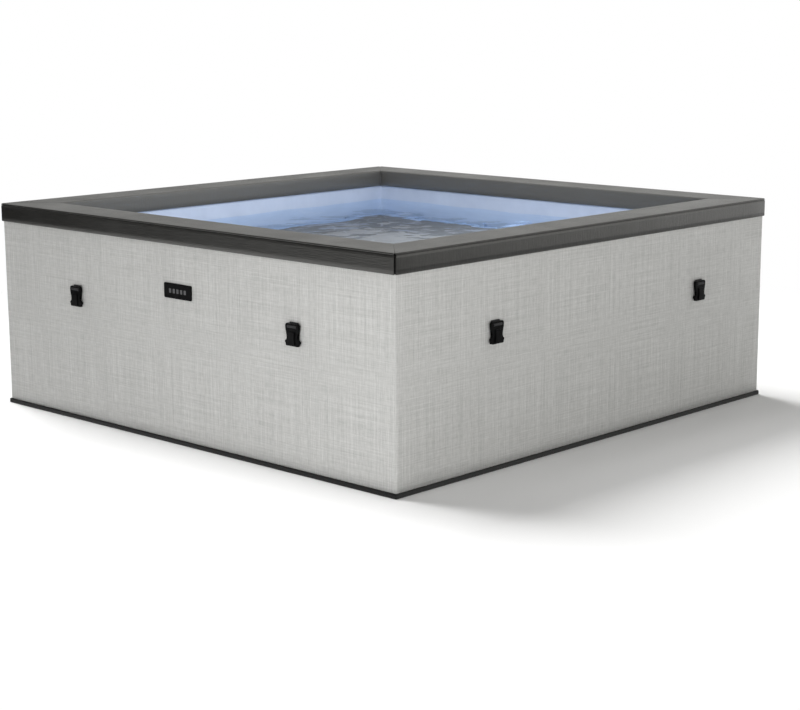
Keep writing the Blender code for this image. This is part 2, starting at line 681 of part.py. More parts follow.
def filter_unit():
    along, height, pipe = FILTER
    bore = pipe - PIPE_WALL
    start = (along, -0.8200, height)
    profile = [(0.058, 0.105), (0.058, 0.039), (0.066, 0.039), (0.066, 0.035), (pipe, 0.035)]
    profile += [(pipe, 0), (bore, 0), (bore, 0.039), (0.054, 0.039), (0.054, 0.105)]
    housing = turned("filter_housing", profile, start, INWARD, "back", ring=True, steps=32)
    finish(housing, PALE_PLASTIC, 0.4)

    profile = [(0.046, 0.094), (0.046, 0.0393), (0.020, 0.0393), (0.020, 0.094)]
    cartridge = turned("filter_cartridge", profile, start, INWARD, "back", ring=True)
    finish(cartridge, FOAM_WHITE, 0.9)

    profile = [(0, 0.113), (0.055, 0.113), (0.058, 0.111), (0.058, 0.1053), (0.0535, 0.1053)]
    profile += [(0.0535, 0.097), (0, 0.097)]
    cap = turned("filter_cap", profile, start, INWARD, "back", steps=32)
    for turn in range(8):
        angle = math.radians(45 * turn + 22.5)
        at = (along + 0.036 * math.cos(angle), -0.74, height + 0.036 * math.sin(angle))
        cut(cap, rod("filter_cap_hole", 0.006, 0.05, at, INWARD, "back", sides=12))
    grip = (along - 0.035, along + 0.035)
    join(cap, box("cap_grip", grip, (-0.7080, -0.6990), (height - 0.004, height + 0.004), "back"))
    finish(cap, PALE_PLASTIC, 0.4)


def return_jet():
    along, height, pipe = RETURN
    bore = pipe - PIPE_WALL
    start = (along, -0.8300, height)
    middle, seat, ball, snout, jet = 0.057, 0.0185, 0.0180, 0.008, 0.005
    mouth_at = 0.068
    low_angle = -math.degrees(math.acos(bore / seat))
    high_angle = math.degrees(math.asin((mouth_at - middle) / seat))
    seat_arc = arc((0, middle), seat, low_angle, high_angle, 6)
    profile = [(0.028, mouth_at), (0.034, 0.062), (0.034, 0.045), (pipe, 0.045), (pipe, 0)]
    profile += [(bore, 0), *seat_arc]
    fitting = turned("return_fitting", profile, start, INWARD, "back", ring=True)
    finish(fitting, PALE_PLASTIC, 0.4)

    snout_angle = math.degrees(math.acos(snout / ball))
    jet_angle = -math.degrees(math.acos(jet / ball))
    ball_arc = arc((0, 0), ball, snout_angle, jet_angle, 6)
    profile = [(snout, 0.026), *ball_arc, (jet, 0.026)]
    centre = (along, -0.8300 + middle, height)
    nozzle = turned("return_nozzle", profile, centre, INWARD, "back", ring=True)
    finish(nozzle, PALE_PLASTIC, 0.35)


def air_ring():
    low, thick = FLOOR_TOP + GAP, 0.012
    outlines = [square(0.784), square(0.760)]
    ring = flat_piece("air_ring", outlines, thick, (0, 0, low + thick / 2), UPRIGHT)
    along, height, pipe = AIR
    x = (along - 0.012, along + 0.012)
    join(ring, box("air_riser", x, reach(0.768, 0.785), (low + 0.002, height + 0.018), "back"))
    join(ring, rod("air_spigot", pipe, 0.040, (along, -0.780, height), OUTWARD, "back"))
    bore = (along, -0.775, height)
    cut(ring, rod("air_bore", pipe - PIPE_WALL, 0.06, bore, OUTWARD, "back", sides=16))
    finish(ring, PALE_PLASTIC, 0.45)


def drain():
    along, height = DRAIN
    pipe, bore = DRAIN_PIPE, 0.014
    start = (along, -0.7810, height)
    profile = [(pipe, 0.149), (pipe, 0.1433), (0.028, 0.1433), (0.028, 0.1396), (pipe, 0.1396)]
    profile += [(pipe, 0.004), (0.0225, 0.004), (0.0225, 0), (bore, 0), (bore, 0.149)]
    valve = turned("drain_valve", profile, start, OUTWARD, "left", ring=True)
    finish(valve, BLACK, 0.45)

    profile = [(0, 0.1536), (0.0215, 0.1536), (0.0235, 0.1516), (0.0235, 0.1436)]
    profile += [(0.0185, 0.1436), (0.0185, 0.1493), (0, 0.1493)]
    cap = turned("drain_cap", profile, start, OUTWARD, "left")
    grip = (along - 0.017, along + 0.017)
    grip_y = reach(0.9340, 0.9366)
    join(cap, box("drain_grip", grip, grip_y, (height - 0.003, height + 0.003), "left"))
    finish(cap, BLACK, 0.4)


floor_and_walls()
rims()
badge()
buckles()
bay_housing()
door()
control_panel()
pump()
heater()
blower()
control_box()
hoses()
filter_unit()
return_jet()
air_ring()
drain()
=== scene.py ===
"""Looks for the square foam-wall hot tub: cladding, rim, liner, fittings, water, floor and light.

Lengths are in metres. What belongs to a wall is drawn as if on the front one, where x runs along the
wall, -y points out of it and z is up, and is then turned to its own side. An outline is a list of
(x, z) points on that wall, and a section is a list of (outward, height) points.
"""

import json
import math

import bmesh
import bpy
from mathutils import Matrix, Vector, noise

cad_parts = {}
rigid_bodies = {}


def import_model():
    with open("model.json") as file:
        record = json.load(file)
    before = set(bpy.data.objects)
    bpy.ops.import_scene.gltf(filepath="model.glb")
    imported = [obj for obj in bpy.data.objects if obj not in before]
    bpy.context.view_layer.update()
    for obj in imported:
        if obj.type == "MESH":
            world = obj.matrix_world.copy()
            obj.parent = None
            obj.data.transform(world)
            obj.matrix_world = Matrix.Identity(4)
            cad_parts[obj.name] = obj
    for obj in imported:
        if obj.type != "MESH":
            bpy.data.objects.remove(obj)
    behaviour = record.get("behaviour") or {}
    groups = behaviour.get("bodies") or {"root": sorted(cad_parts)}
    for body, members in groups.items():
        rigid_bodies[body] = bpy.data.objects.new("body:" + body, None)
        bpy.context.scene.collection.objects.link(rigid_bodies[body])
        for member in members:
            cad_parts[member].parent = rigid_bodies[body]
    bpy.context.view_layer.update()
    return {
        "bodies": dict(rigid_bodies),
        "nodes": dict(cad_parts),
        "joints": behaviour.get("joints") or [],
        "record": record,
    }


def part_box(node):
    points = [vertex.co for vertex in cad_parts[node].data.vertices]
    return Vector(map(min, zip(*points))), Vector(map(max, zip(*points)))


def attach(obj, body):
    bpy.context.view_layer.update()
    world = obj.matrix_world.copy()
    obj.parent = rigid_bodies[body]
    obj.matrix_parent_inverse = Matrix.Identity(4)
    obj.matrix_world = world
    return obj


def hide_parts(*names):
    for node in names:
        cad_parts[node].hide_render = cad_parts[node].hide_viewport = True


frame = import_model()
NODES = frame["nodes"]

SIDES = {"front": 0, "right": 90, "back": 180, "left": 270}
BODY = "tub"
GAP = 0.0003  # between CAD pieces that touch
QUARTER = math.radians(90)

# Sizes from the frame
SKIN_LOW, SKIN_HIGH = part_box("outer_cladding")
LINER_LOW, LINER_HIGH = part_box("liner_walls")
FLOOR_LOW, FLOOR_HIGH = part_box("liner_floor")
MAT_LOW, MAT_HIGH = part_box("ground_mat")
RIM_LOW, RIM_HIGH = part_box("rim_front")
HOUSING_LOW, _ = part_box("unit_housing")
RIM_OUTER, RIM_INNER = -RIM_LOW.y, -RIM_HIGH.y

# Soft parts
SHEET = 0.002  # thickness of the jacket and the liner
LINER_INNER = LINER_HIGH.x - SHEET
SKIN_CORNER = 0.008
BAY_WINDOW = (0.3003, 0.0997, 0.5603)  # half width, bottom, top
DRAIN_HOLE = 0.0185  # radius
LINER_HOLE, AIR_HOLE = 0.0163, 0.0143  # radii
AIR_INLET = (-0.235, 0.135)
RIM_BOARD, RIM_LID = 0.005, 0.012  # thickness of the rim's inner board and of its top
RIM_ROLL = 0.0022  # how far the padded ends roll in at a mitre
RIM_SLOT = 0.0045  # how far the outer edge stays back at a corner, for the bead
LID_EDGE = 0.0048  # from the top down to the groove in the outer face
BEAD_AT, BEAD_RADIUS = RIM_OUTER - 0.0078, 0.0038

# Outside the walls
BADGE_EDGE, BADGE_RELIEF = 0.0012, 0.0006
BADGE_BARS, BAR_PITCH = 5, 0.0175
SEGMENTS = {"3": "abgcd", "8": "abcdefg"}
SEGMENT_PLACES = {
    "a": (0, 1, True), "d": (0, -1, True), "g": (0, 0, True),
    "f": (-1, 0.5, False), "b": (1, 0.5, False), "e": (-1, -0.5, False), "c": (1, -0.5, False),
}
FIGURE_HALF = (0.0048, 0.0080)  # of a lit figure, to the middles of its segments
FLANGE_FACE, DOOR_FACE, DOOR_CREST = 0.9235, 0.9276, 0.9288  # reaches from the tub's middle
DOOR_MIDDLE, DOOR_HALF = (0, 0.351), (0.3045, 0.2130)
LOUVRES_AT, LOUVRE_HALF, LOUVRE_PITCH, LOUVRES = (0.170, 0.200), 0.0575, 0.014, 7

# In the equipment bay, as (along, reach, height) on the front wall
PIPE, AIR_PIPE = 0.016, 0.014  # radii
REACH = 0.860
PUMP_LEFT, PUMP_HEIGHT = -0.255, 0.165
PUMP_OUTLET = PUMP_LEFT + 0.158
INLET, RETURN, AIR = 0.030, 0.170, 0.235  # along the wall: water fittings, blower, air inlet
BLOWER_HEIGHT = 0.200
CLAMPS = (
    ((-0.0400, -REACH, PUMP_HEIGHT), (1, 0, 0), PIPE), ((INLET, -0.8273, PUMP_HEIGHT), (0, 1, 0), PIPE),
    ((PUMP_OUTLET, -REACH, 0.2425), (0, 0, 1), PIPE), ((PUMP_OUTLET, -REACH, 0.2525), (0, 0, 1), PIPE),
    ((PUMP_OUTLET, -REACH, 0.4675), (0, 0, 1), PIPE), ((INLET, -0.8380, 0.300), (0, 1, 0), PIPE),
    ((RETURN, -0.870, 0.2930), (0, 0, 1), AIR_PIPE), ((AIR, -0.8280, 0.135), (0, 1, 0), AIR_PIPE),
)
HOSES = {
    "suction_hose": (PIPE, [
        (-0.0497, REACH, 0.165), (-0.0197, REACH, 0.165), (0.014, REACH - 0.001, 0.165),
        (0.027, REACH - 0.011, 0.165), (0.030, REACH - 0.024, 0.165), (0.030, 0.8203, 0.165)]),
    "heater_hose": (PIPE, [(PUMP_OUTLET, REACH, 0.2353), (PUMP_OUTLET, REACH, 0.2597)]),
    "return_hose": (PIPE, [
        (PUMP_OUTLET, REACH, 0.4603), (PUMP_OUTLET, REACH, 0.480), (PUMP_OUTLET + 0.018, REACH, 0.510),
        (PUMP_OUTLET + 0.055, REACH, 0.525), (-0.005, REACH + 0.005, 0.512), (0.023, REACH + 0.015, 0.470),
        (0.030, REACH + 0.024, 0.410), (0.030, REACH + 0.026, 0.350), (0.030, REACH + 0.016, 0.315),
        (0.030, REACH - 0.006, 0.300), (0.030, 0.8303, 0.300)]),
    "air_hose": (AIR_PIPE, [
        (0.170, 0.870, 0.2853), (0.170, 0.870, 0.330), (0.172, 0.870, 0.420), (0.184, 0.870, 0.480),
        (0.210, 0.870, 0.508), (0.238, 0.868, 0.485), (0.245, 0.866, 0.400), (0.245, 0.866, 0.300),
        (0.243, 0.864, 0.200), (0.238, 0.858, 0.158), (0.235, 0.844, 0.135), (0.235, 0.8203, 0.135)]),
}
HOSE_SIDES, RIB_PITCH, RIB_DEPTH, HOSE_END = 20, 0.0066, 0.0013, 0.014

# Inside the tub
JETS_A_SIDE, JET_PITCH, JET_REACH = 7, 0.22, 0.772
JET_HEIGHT = FLOOR_HIGH.z + GAP + 0.012
STRAINER_AT = (-0.60, -0.7806, 0.100)
WATER_LEVEL, WATER_STEPS = 0.575, 300

# The studio: the dome's strength by height, from front to back and from left to right, and the lights
DOME_LOW, DOME_HIGH = 1.15, 0.36
DOME_FRONT, DOME_BACK = 0.06, 1.14
DOME_LEFT, DOME_RIGHT = 0.64, 1.34
DOME_COLOUR = (1.0, 0.995, 0.97)
WHITE = (1.0, 1.0, 1.0)
SUN_POWER, SUN_ANGLE, SUN_AIM = 3.7, 34, (0.68, -0.015, -0.73)
PANELS = (  # name, place, aim, size, watts
    ("front_fill", (1.4, -3.6, 0.5), (0.90, -0.9, 0.40), (1.2, 0.8), 38),
    ("right_fill", (3.8, -1.9, 0.45), (0.9, -0.6, 0.40), (1.2, 0.7), 23),
    ("over_water", (0.40, -0.40, 1.7), (-0.70, 0.70, 0.64), (0.9, 0.9), 26),
)


# ---------------------------------------------------------------- materials

class Look:
    """A node tree under construction: a material's or the world's."""

    def __init__(self, name, home="materials"):
        self.owner = getattr(bpy.data, home).new(name)
        self.owner.use_nodes = True
        self.nodes = self.owner.node_tree.nodes
        self.shader = self.nodes.get("Principled BSDF")

    def node(self, kind, inputs, **settings):
        made = self.nodes.new("ShaderNode" + kind)
        for key, value in settings.items():
            setattr(made, key, value)
        for key, value in inputs.items():
            self.feed(made.inputs[key], value)
        return made

    def feed(self, socket, value):
        if isinstance(value, bpy.types.NodeSocket):
            self.owner.node_tree.links.new(value, socket)
        else:
            opaque = socket.type == "RGBA" and len(value) == 3
            socket.default_value = (*value, 1.0) if opaque else value

    def set(self, **values):
        for key, value in values.items():
            self.feed(self.shader.inputs[key.replace("_", " ")], value)

    def coat(self, tone, dark, light, wear, rough, relief=(), span=(0.3, 0.7), **more):
        """Colour from dark to light by tone, roughness by wear, relief as (height, strength, distance)."""
        colour = self.mix(tone, dark, light)
        self.set(Base_Color=colour, Roughness=self.remap(wear, *span, *rough), **more)
        if relief:
            self.set(Normal=self.bump(*relief))
        return self.owner

    def place(self):
        return self.node("TexCoord", {}).outputs["Object"]

    def split(self, vector):
        return self.node("SeparateXYZ", {"Vector": vector}).outputs

    def math(self, operation, a, b=0.0):
        return self.node("Math", {0: a, 1: b}, operation=operation).outputs[0]

    def add(self, a, b):
        return self.math("ADD", a, b)

    def times(self, a, b):
        return self.math("MULTIPLY", a, b)

    def blend(self, a, share, b, other):
        return self.add(self.times(a, share), self.times(b, other))

    def noise(self, vector, scale, detail=3.0, roughness=0.5):
        inputs = {"Vector": vector, "Scale": scale, "Detail": detail, "Roughness": roughness}
        return self.node("TexNoise", inputs).outputs["Fac"]

    def stretched(self, vector, scale):
        return self.node("Mapping", {"Vector": vector, "Scale": scale}).outputs["Vector"]

    def streaks(self, vector, scale, detail=1.0, roughness=0.5):
        return self.noise(self.stretched(vector, scale), 1.0, detail, roughness)

    def remap(self, value, low, high, to_low=0.0, to_high=1.0, **settings):
        inputs = {"Value": value, 1: low, 2: high, 3: to_low, 4: to_high}
        return self.node("MapRange", inputs, **settings).outputs["Result"]

    def mix(self, factor, a, b):
        made = self.node("Mix", {}, data_type="RGBA")
        for socket, value in ((0, factor), (6, a), (7, b)):
            self.feed(made.inputs[socket], value)
        return made.outputs[2]

    def either(self, factor, a, b):
        """Shader a where the factor is 0 and b where it is 1."""
        return self.node("MixShader", {0: factor, 1: a, 2: b}).outputs[0]

    def glow(self, colour, strength, kind="Emission"):
        return self.node(kind, {"Color": colour, "Strength": strength}).outputs[0]

    def bump(self, height, strength, distance, normal=None):
        inputs = {"Height": height, "Strength": strength, "Distance": distance}
        if normal:
            inputs["Normal"] = normal
        return self.node("Bump", inputs).outputs["Normal"]

    def wrap_round(self):
        """Coordinates (along the walls, 0, height): one number runs round all four sides."""
        parts = self.split(self.place())
        made = self.node("CombineXYZ", {"X": self.add(parts["X"], parts["Y"]), "Z": parts["Z"]})
        return made.outputs["Vector"]

    def show_as(self, surface):
        """Makes a shader the material's surface."""
        self.feed(self.nodes["Material Output"].inputs["Surface"], surface)
        return self.owner


def marked(name, scale, detail, roughness):
    """A new look, its coordinates and its marks."""
    look = Look(name)
    at = look.place()
    return look, at, look.noise(at, scale, detail, roughness)


def woven_look():
    """Light-grey cloth: fine slubbed threads, the upright ones stronger than the level ones."""
    look = Look("woven_cladding")
    at = look.wrap_round()
    upright = look.blend(look.streaks(at, (270, 1, 34)), 0.45, look.streaks(at, (330, 1, 3)), 0.65)
    level = look.blend(look.streaks(at, (26, 1, 270)), 0.40, look.streaks(at, (3, 1, 320)), 0.60)
    wide = look.streaks(at, (30, 1, 4), 2.0, 0.6)
    cloud = look.noise(at, 7.0, 3.0, 0.55)
    knots = look.streaks(at, (380, 1, 170))
    threads = look.add(upright, look.times(level, 0.75))
    drift = look.blend(wide, 0.08, cloud, 0.09)
    grid = {"Vector": at, "Scale": 165.0, "Distortion": 1.2, "Detail": 1.0, "Detail Scale": 0.6}
    warp = look.node("TexWave", grid, bands_direction="X").outputs["Fac"]
    weft = look.node("TexWave", grid, bands_direction="Z").outputs["Fac"]
    yarns = look.times(look.math("MAXIMUM", warp, weft), 0.30)
    tone = look.remap(look.add(look.add(threads, drift), yarns), 0.90, 1.55)
    colour = look.mix(tone, (0.345, 0.345, 0.335), (0.58, 0.58, 0.565))
    normal = look.bump(yarns, 0.6, 0.0016)
    normal = look.bump(threads, 0.45, 0.0010, normal)
    normal = look.bump(knots, 0.35, 0.0006, normal)
    return look.coat(
        look.remap(knots, 0.70, 0.82), colour, (0.70, 0.70, 0.685), tone, (0.80, 0.62), span=(0.0, 1.0),
        Normal=normal, Sheen_Weight=0.10, Sheen_Roughness=0.4,
    )


def vinyl_look(name, stretch):
    """Dark leather-grained vinyl with painted light on the rim's inner lip, coloured lighter as if more
    light fell on it than on the outer faces; the stretch draws its fine streaks.
    """
    look = Look(name)
    at = look.place()
    streak = look.streaks(at, stretch, 3.0, 0.6)
    grain = look.node("TexVoronoi", {"Vector": at, "Scale": 520.0}).outputs["Distance"]
    cloud = look.noise(at, 5.0, 3.0, 0.6)
    tone = look.remap(look.blend(streak, 0.8, cloud, 0.3), 0.40, 0.72)
    colour = look.mix(tone, (0.006, 0.006, 0.0056), (0.017, 0.0168, 0.0156))
    parts = look.split(at)
    reach = look.math("MAXIMUM", *(look.math("ABSOLUTE", parts[axis]) for axis in "XY"))
    # Painted light: this mask makes the inner lip lighter than the outer faces, standing in for the light
    # that falls on it.
    painted_light_lip = look.remap(reach, RIM_INNER + 0.004, RIM_INNER + 0.001)
    normal = look.bump(grain, 0.25, 0.0005, look.bump(streak, 0.60, 0.0012))
    # The lighter grey given to the inner lip is painted light, not a second colour of vinyl.
    return look.coat(
        painted_light_lip, colour, (0.092, 0.092, 0.088), cloud, (0.29, 0.38), Normal=normal,
        Specular_IOR_Level=0.80, Specular_Tint=(1.0, 0.99, 0.95),
    )


def moulded_look(name, colour, roughness, specular=0.5, spread=0.20):
    """Moulded plastic with a fine spark-eroded grain and slight handling marks."""
    look, at, marks = marked(name, 38.0, 4.0, 0.65)
    fine = look.noise(at, 900.0, 2.0, 0.5)
    light = tuple(min(1.0, c * (1 + spread) + 0.004) for c in colour)
    dark = tuple(c * (1 - spread) for c in colour)
    rough = (roughness + 0.08, roughness - 0.06)
    return look.coat(
        look.remap(marks, 0.35, 0.70), dark, light, marks, rough, (fine, 0.12, 0.0004),
        Specular_IOR_Level=specular,
    )


def liner_look(name, dark, light, wrinkle):
    """Laminated vinyl: faint mottling, a fine cloth backing that shows through and soft wrinkles."""
    look, at, mottle = marked(name, 9.0, 4.0, 0.6)
    backing = look.noise(at, 480.0, 1.0, 0.5)
    soft = look.noise(look.stretched(at, (1, 1, 0.35)), 14.0, 2.0, 0.5)
    relief = (backing, 0.10, 0.0004, look.bump(soft, 0.5, wrinkle))
    return look.coat(look.remap(mottle, 0.3, 0.7), dark, light, mottle, (0.42, 0.30), relief)


def rubber_look(name, colour=(0.018, 0.018, 0.018)):
    """Matt rubber or soft foam with fine pores and a little dust."""
    look, at, dust = marked(name, 14.0, 4.0, 0.7)
    pores = look.noise(at, 700.0, 2.0, 0.6)
    lighter = tuple(c * 2.0 + 0.004 for c in colour)
    return look.coat(look.remap(dust, 0.45, 0.80), colour, lighter, dust, (0.70, 0.85), (pores, 0.3, 0.0006))


def tape_look():
    """Woven nylon tape: ribs across a twill."""
    look = Look("strap_webbing")
    at = look.place()
    ribs = look.node("TexWave", {"Vector": at, "Scale": 130.0, "Distortion": 0.6}, bands_direction="Z")
    ribs = ribs.outputs["Fac"]
    cross = look.noise(at, 1500.0, 1.0, 0.5)
    relief = (look.add(ribs, cross), 0.5, 0.0006)
    return look.coat(ribs, (0.012, 0.012, 0.013), (0.032, 0.032, 0.034), cross, (0.60, 0.80), relief)


def steel_look(name, dark, light):
    """Brushed steel."""
    look = Look(name)
    lines = look.streaks(look.place(), (90, 90, 2500), 2.0, 0.6)
    return look.coat(lines, dark, light, lines, (0.22, 0.36), (lines, 0.12, 0.0004), Metallic=1.0)


def foam_look():
    """White bead foam with its pressed beads."""
    look, at, dirt = marked("bead_foam", 6.0, 4.0, 0.6)
    beads = look.node("TexVoronoi", {"Vector": at, "Scale": 260.0}).outputs["Distance"]
    dirt = look.remap(dirt, 0.4, 0.8)
    return look.coat(
        dirt, (0.84, 0.84, 0.82), (0.70, 0.70, 0.67), beads, (0.80, 0.95), (beads, 0.4, 0.0010), (0.0, 1.0)
    )


def paper_look():
    """Filter paper with its fibres."""
    look, _, fibres = marked("pleated_paper", 900.0, 2.0, 0.6)
    return look.coat(
        fibres, (0.62, 0.66, 0.72), (0.86, 0.88, 0.90), fibres, (0.85, 0.95), (fibres, 0.5, 0.0006)
    )


def lens_look():
    """A smoked glossy lens with faint smears."""
    look, _, smear = marked("smoked_lens", 60.0, 4.0, 0.7)
    return look.coat(
        smear, (0.010, 0.014, 0.020), (0.020, 0.028, 0.036), smear, (0.05, 0.16), Coat_Weight=0.6
    )


def lit_look():
    """Figures that glow behind the lens, a little uneven."""
    look, _, glow = marked("lit_figures", 220.0, 2.0, 0.5)
    return look.coat(
        glow, (0.10, 0.22, 0.34), (0.16, 0.32, 0.46), glow, (0.4, 0.6),
        Emission_Color=look.mix(glow, (0.35, 0.70, 1.0), (0.55, 0.85, 1.0)), Emission_Strength=1.6,
    )


# ------------------------------------------------------------------ meshes

def placed(name, data):
    """Puts new data into the scene as an object."""
    obj = bpy.data.objects.new(name, data)
    bpy.context.scene.collection.objects.link(obj)
    return obj


def from_work(name, work):
    """Makes an object of a working mesh."""
    mesh = bpy.data.meshes.new(name)
    work.to_mesh(mesh)
    work.free()
    return placed(name, mesh)


def new_object(name, verts, faces, smooth=True):
    """Makes an object of points and faces: doubled points welded, faces turned outwards."""
    mesh = bpy.data.meshes.new(name)
    mesh.from_pydata(verts, [], faces)
    mesh.validate()
    work = bmesh.new()
    work.from_mesh(mesh)
    bmesh.ops.remove_doubles(work, verts=work.verts, dist=0.000005)
    bmesh.ops.recalc_face_normals(work, faces=work.faces)
    work.to_mesh(mesh)
    work.free()
    if smooth:
        mesh.shade_smooth()
    return placed(name, mesh)


def show(obj, skin, body=BODY, replaced=()):
    """Gives a piece its material and its body, and the CAD nodes that it stands for."""
    obj.data.materials.clear()
    obj.data.materials.append(skin)
    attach(obj, body)
    if replaced:
        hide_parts(*replaced)
    return obj


def turn_to(obj, side):
    obj.data.transform(Matrix.Rotation(math.radians(SIDES[side]), 4, "Z"))
    return obj


def on_back(obj, body=BODY, skin=None, replaced=()):
    """Turns a piece drawn on the front wall to the back wall."""
    return show(turn_to(obj, "back"), skin, body, replaced)


def copy_of(model, name, move):
    copy = placed(name, model.data.copy())
    copy.data.transform(move)
    return copy


def remove(*objects):
    for obj in objects:
        bpy.data.objects.remove(obj, do_unlink=True)


def settle(obj):
    """Applies an object's modifiers."""
    evaluated = obj.evaluated_get(bpy.context.evaluated_depsgraph_get())
    mesh = bpy.data.meshes.new_from_object(evaluated)
    obj.modifiers.clear()
    obj.data = mesh
    return obj


def sharpen(obj, angle):
    """Breaks smooth shading at edges over an angle in degrees."""
    obj.data.set_sharp_from_angle(angle=math.radians(angle))
    return obj


def shade(obj, angle=38):
    """Smooth shading that keeps flat faces flat."""
    obj.data.shade_smooth()
    modifier = sharpen(obj, angle).modifiers.new("normals", "WEIGHTED_NORMAL")
    modifier.keep_sharp = True
    return settle(obj)


def boolean(obj, others, operation="DIFFERENCE"):
    """Cuts the other meshes away, or adds them. They are used up."""
    for other in others:
        modifier = obj.modifiers.new("combine", "BOOLEAN")
        modifier.operation, modifier.solver, modifier.object = operation, "EXACT", other
    settle(obj)
    remove(*others)
    return obj


def box_mesh(name, low, high, width=0.0, segments=2):
    """A block with rounded edges."""
    low, high = Vector(low), Vector(high)
    work = bmesh.new()
    bmesh.ops.create_cube(work, size=1)
    place = Matrix.Translation((low + high) / 2) @ Matrix.Diagonal((*(high - low), 1))
    bmesh.ops.transform(work, matrix=place, verts=work.verts)
    if width:
        edges = work.edges[:]
        bmesh.ops.bevel(work, geom=edges, offset=width, segments=segments, profile=0.5, affect="EDGES")
    obj = from_work(name, work)
    obj.data.shade_smooth()
    return obj


def bore(radius, length, sides, place, axis):
    """A cutter for a round hole through a wall."""
    work = bmesh.new()
    bmesh.ops.create_cone(work, cap_ends=True, segments=sides, radius1=radius, radius2=radius, depth=length)
    turn = Matrix.Translation(place) @ Matrix.Rotation(QUARTER, 4, axis)
    bmesh.ops.transform(work, matrix=turn, verts=work.verts)
    return from_work("bore", work)


def grid(rows, columns, ring=True, tube=True):
    """Faces between points listed row by row. A ring closes the rows up and a tube the columns."""
    faces = []
    for i in range(rows if ring else rows - 1):
        here, there = i * columns, (i + 1) % rows * columns
        for j in range(columns if tube else columns - 1):
            k = (j + 1) % columns
            faces.append((here + j, here + k, there + k, there + j))
    return faces


def flipped(faces, start=0):
    return [(start + a, start + d, start + c, start + b) for a, b, c, d in faces]


def caps(rows, columns):
    """The two end faces of a tube."""
    last = (rows - 1) * columns
    return [tuple(reversed(range(columns))), tuple(range(last, last + columns))]


def two_sided(rows, columns):
    """Faces of a thin sheet: its points row by row on one side, and then on the other."""
    count = rows * columns
    face = grid(rows, columns, False, False)
    edge = [i * columns for i in range(rows)] + [count - columns + j for j in range(1, columns)]
    edge += [i * columns + columns - 1 for i in reversed(range(rows - 1))]
    edge += reversed(range(1, columns - 1))
    border = [(a, b, count + b, count + a) for a, b in zip(edge, edge[1:] + edge[:1])]
    return face + flipped(face, count) + border


def square_grid(half, steps, height):
    """Points over a square, row by row, each at height(x, y)."""
    at = [-half + 2 * half * i / steps for i in range(steps + 1)]
    return [Vector((x, y, height(x, y))) for x in at for y in at]


def arc(centre, radius, start, end, steps):
    angles = [math.radians(start + (end - start) * i / steps) for i in range(steps + 1)]
    return [(centre[0] + radius * math.cos(a), centre[1] + radius * math.sin(a)) for a in angles]


def square_path(half, radius, spacing, corner_steps):
    """Points and outward normals round a square with round corners, anticlockwise from above."""
    path = []
    straight = 2 * (half - radius)
    count = max(1, round(straight / spacing))
    for turn in range(4):
        spin = Matrix.Rotation(math.radians(90 * turn), 2)
        for i in range(count):
            at = Vector((half, -straight / 2 + straight * i / count))
            path.append((spin @ at, spin @ Vector((1, 0))))
        centre = Vector((half - radius, straight / 2))
        for i in range(corner_steps):
            angle = math.radians(90 * i / corner_steps)
            normal = Vector((math.cos(angle), math.sin(angle)))
            path.append((spin @ (centre + normal * radius), spin @ normal))
    return path


def swept(section, path, move=None):
    """Points of a section carried along a path. move(point, normal, outward) may shift each one."""
    verts = []
    for at, normal in path:
        for out, z in section:
            point = Vector((*(at + normal * out), z))
            verts.append(move(point, normal, out) if move else point)
    return verts


def swept_ring(name, section, path, move):
    """A closed section carried round a closed path."""
    return new_object(name, swept(section, path, move), flipped(grid(len(path), len(section))))


def lathe(name, profile, sides, frame, capped=False):
    """Turns a (radius, along) outline round a frame's z axis. It is closed, or its ends are capped."""
    verts = []
    for r, z in profile:
        for i in range(sides):
            angle = math.tau * i / sides
            verts.append(frame @ Vector((r * math.cos(angle), r * math.sin(angle), z)))
    faces = grid(len(profile), sides, not capped)
    return new_object(name, verts, faces + (caps(len(profile), sides) if capped else []))


def fused(name, pieces):
    """Joins meshes into one object."""
    work = bmesh.new()
    for piece in pieces:
        work.from_mesh(piece.data)
    remove(*pieces)
    return from_work(name, work)


def frame_at(place, axis):
    """A frame whose z axis points along axis."""
    turn = Vector(axis).to_track_quat("Z", "Y").to_matrix().to_4x4()
    return Matrix.Translation(place) @ turn


def spline(a, b, c, d, t):
    """A point of the Catmull-Rom curve from b to c."""
    blend = 2 * b + (c - a) * t + (2 * a - 5 * b + 4 * c - d) * t * t
    return (blend + (3 * b - a - 3 * c + d) * t ** 3) / 2


def smooth_loop(points, steps=3):
    """A closed smooth curve through the points."""
    made, count = [], len(points)
    for i in range(count):
        near = [Vector(points[(i + k) % count]) for k in (-1, 0, 1, 2)]
        made += [spline(*near, j / steps) for j in range(steps)]
    return made


def flowing_path(points, spacing):
    """A smooth curve through (along, reach, height) points, straight at its ends."""
    knots = [Vector((u, -r, z)) for u, r, z in points]
    stub = 0.004
    first = knots[0] + (knots[1] - knots[0]).normalized() * stub
    last = knots[-1] + (knots[-2] - knots[-1]).normalized() * stub
    knots = [knots[0], first, *knots[1:-1], last, knots[-1]]
    knots = [2 * knots[0] - knots[1], *knots, 2 * knots[-1] - knots[-2]]
    path = [knots[1]]
    for near in zip(knots, knots[1:], knots[2:], knots[3:]):
        steps = max(1, round((near[2] - near[1]).length / spacing))
        path += [spline(*near, i / steps) for i in range(1, steps + 1)]
    return path


def directions(path):
    """The way that a path runs at each of its points."""
    return [(b - a).normalized() for a, b in zip(path[:1] + path, path[1:] + path[-1:])]


def mirrored(half):
    return half + [(-x, z) for x, z in reversed(half)]


def round_rectangle(half, radius, centre=(0, 0), steps=5):
    points = []
    for sx, sz, start in ((1, 1, 0), (-1, 1, 90), (-1, -1, 180), (1, -1, 270)):
        corner = (centre[0] + sx * (half[0] - radius), centre[1] + sz * (half[1] - radius))
        points += arc(corner, radius, start, start + 90, steps)
    return points


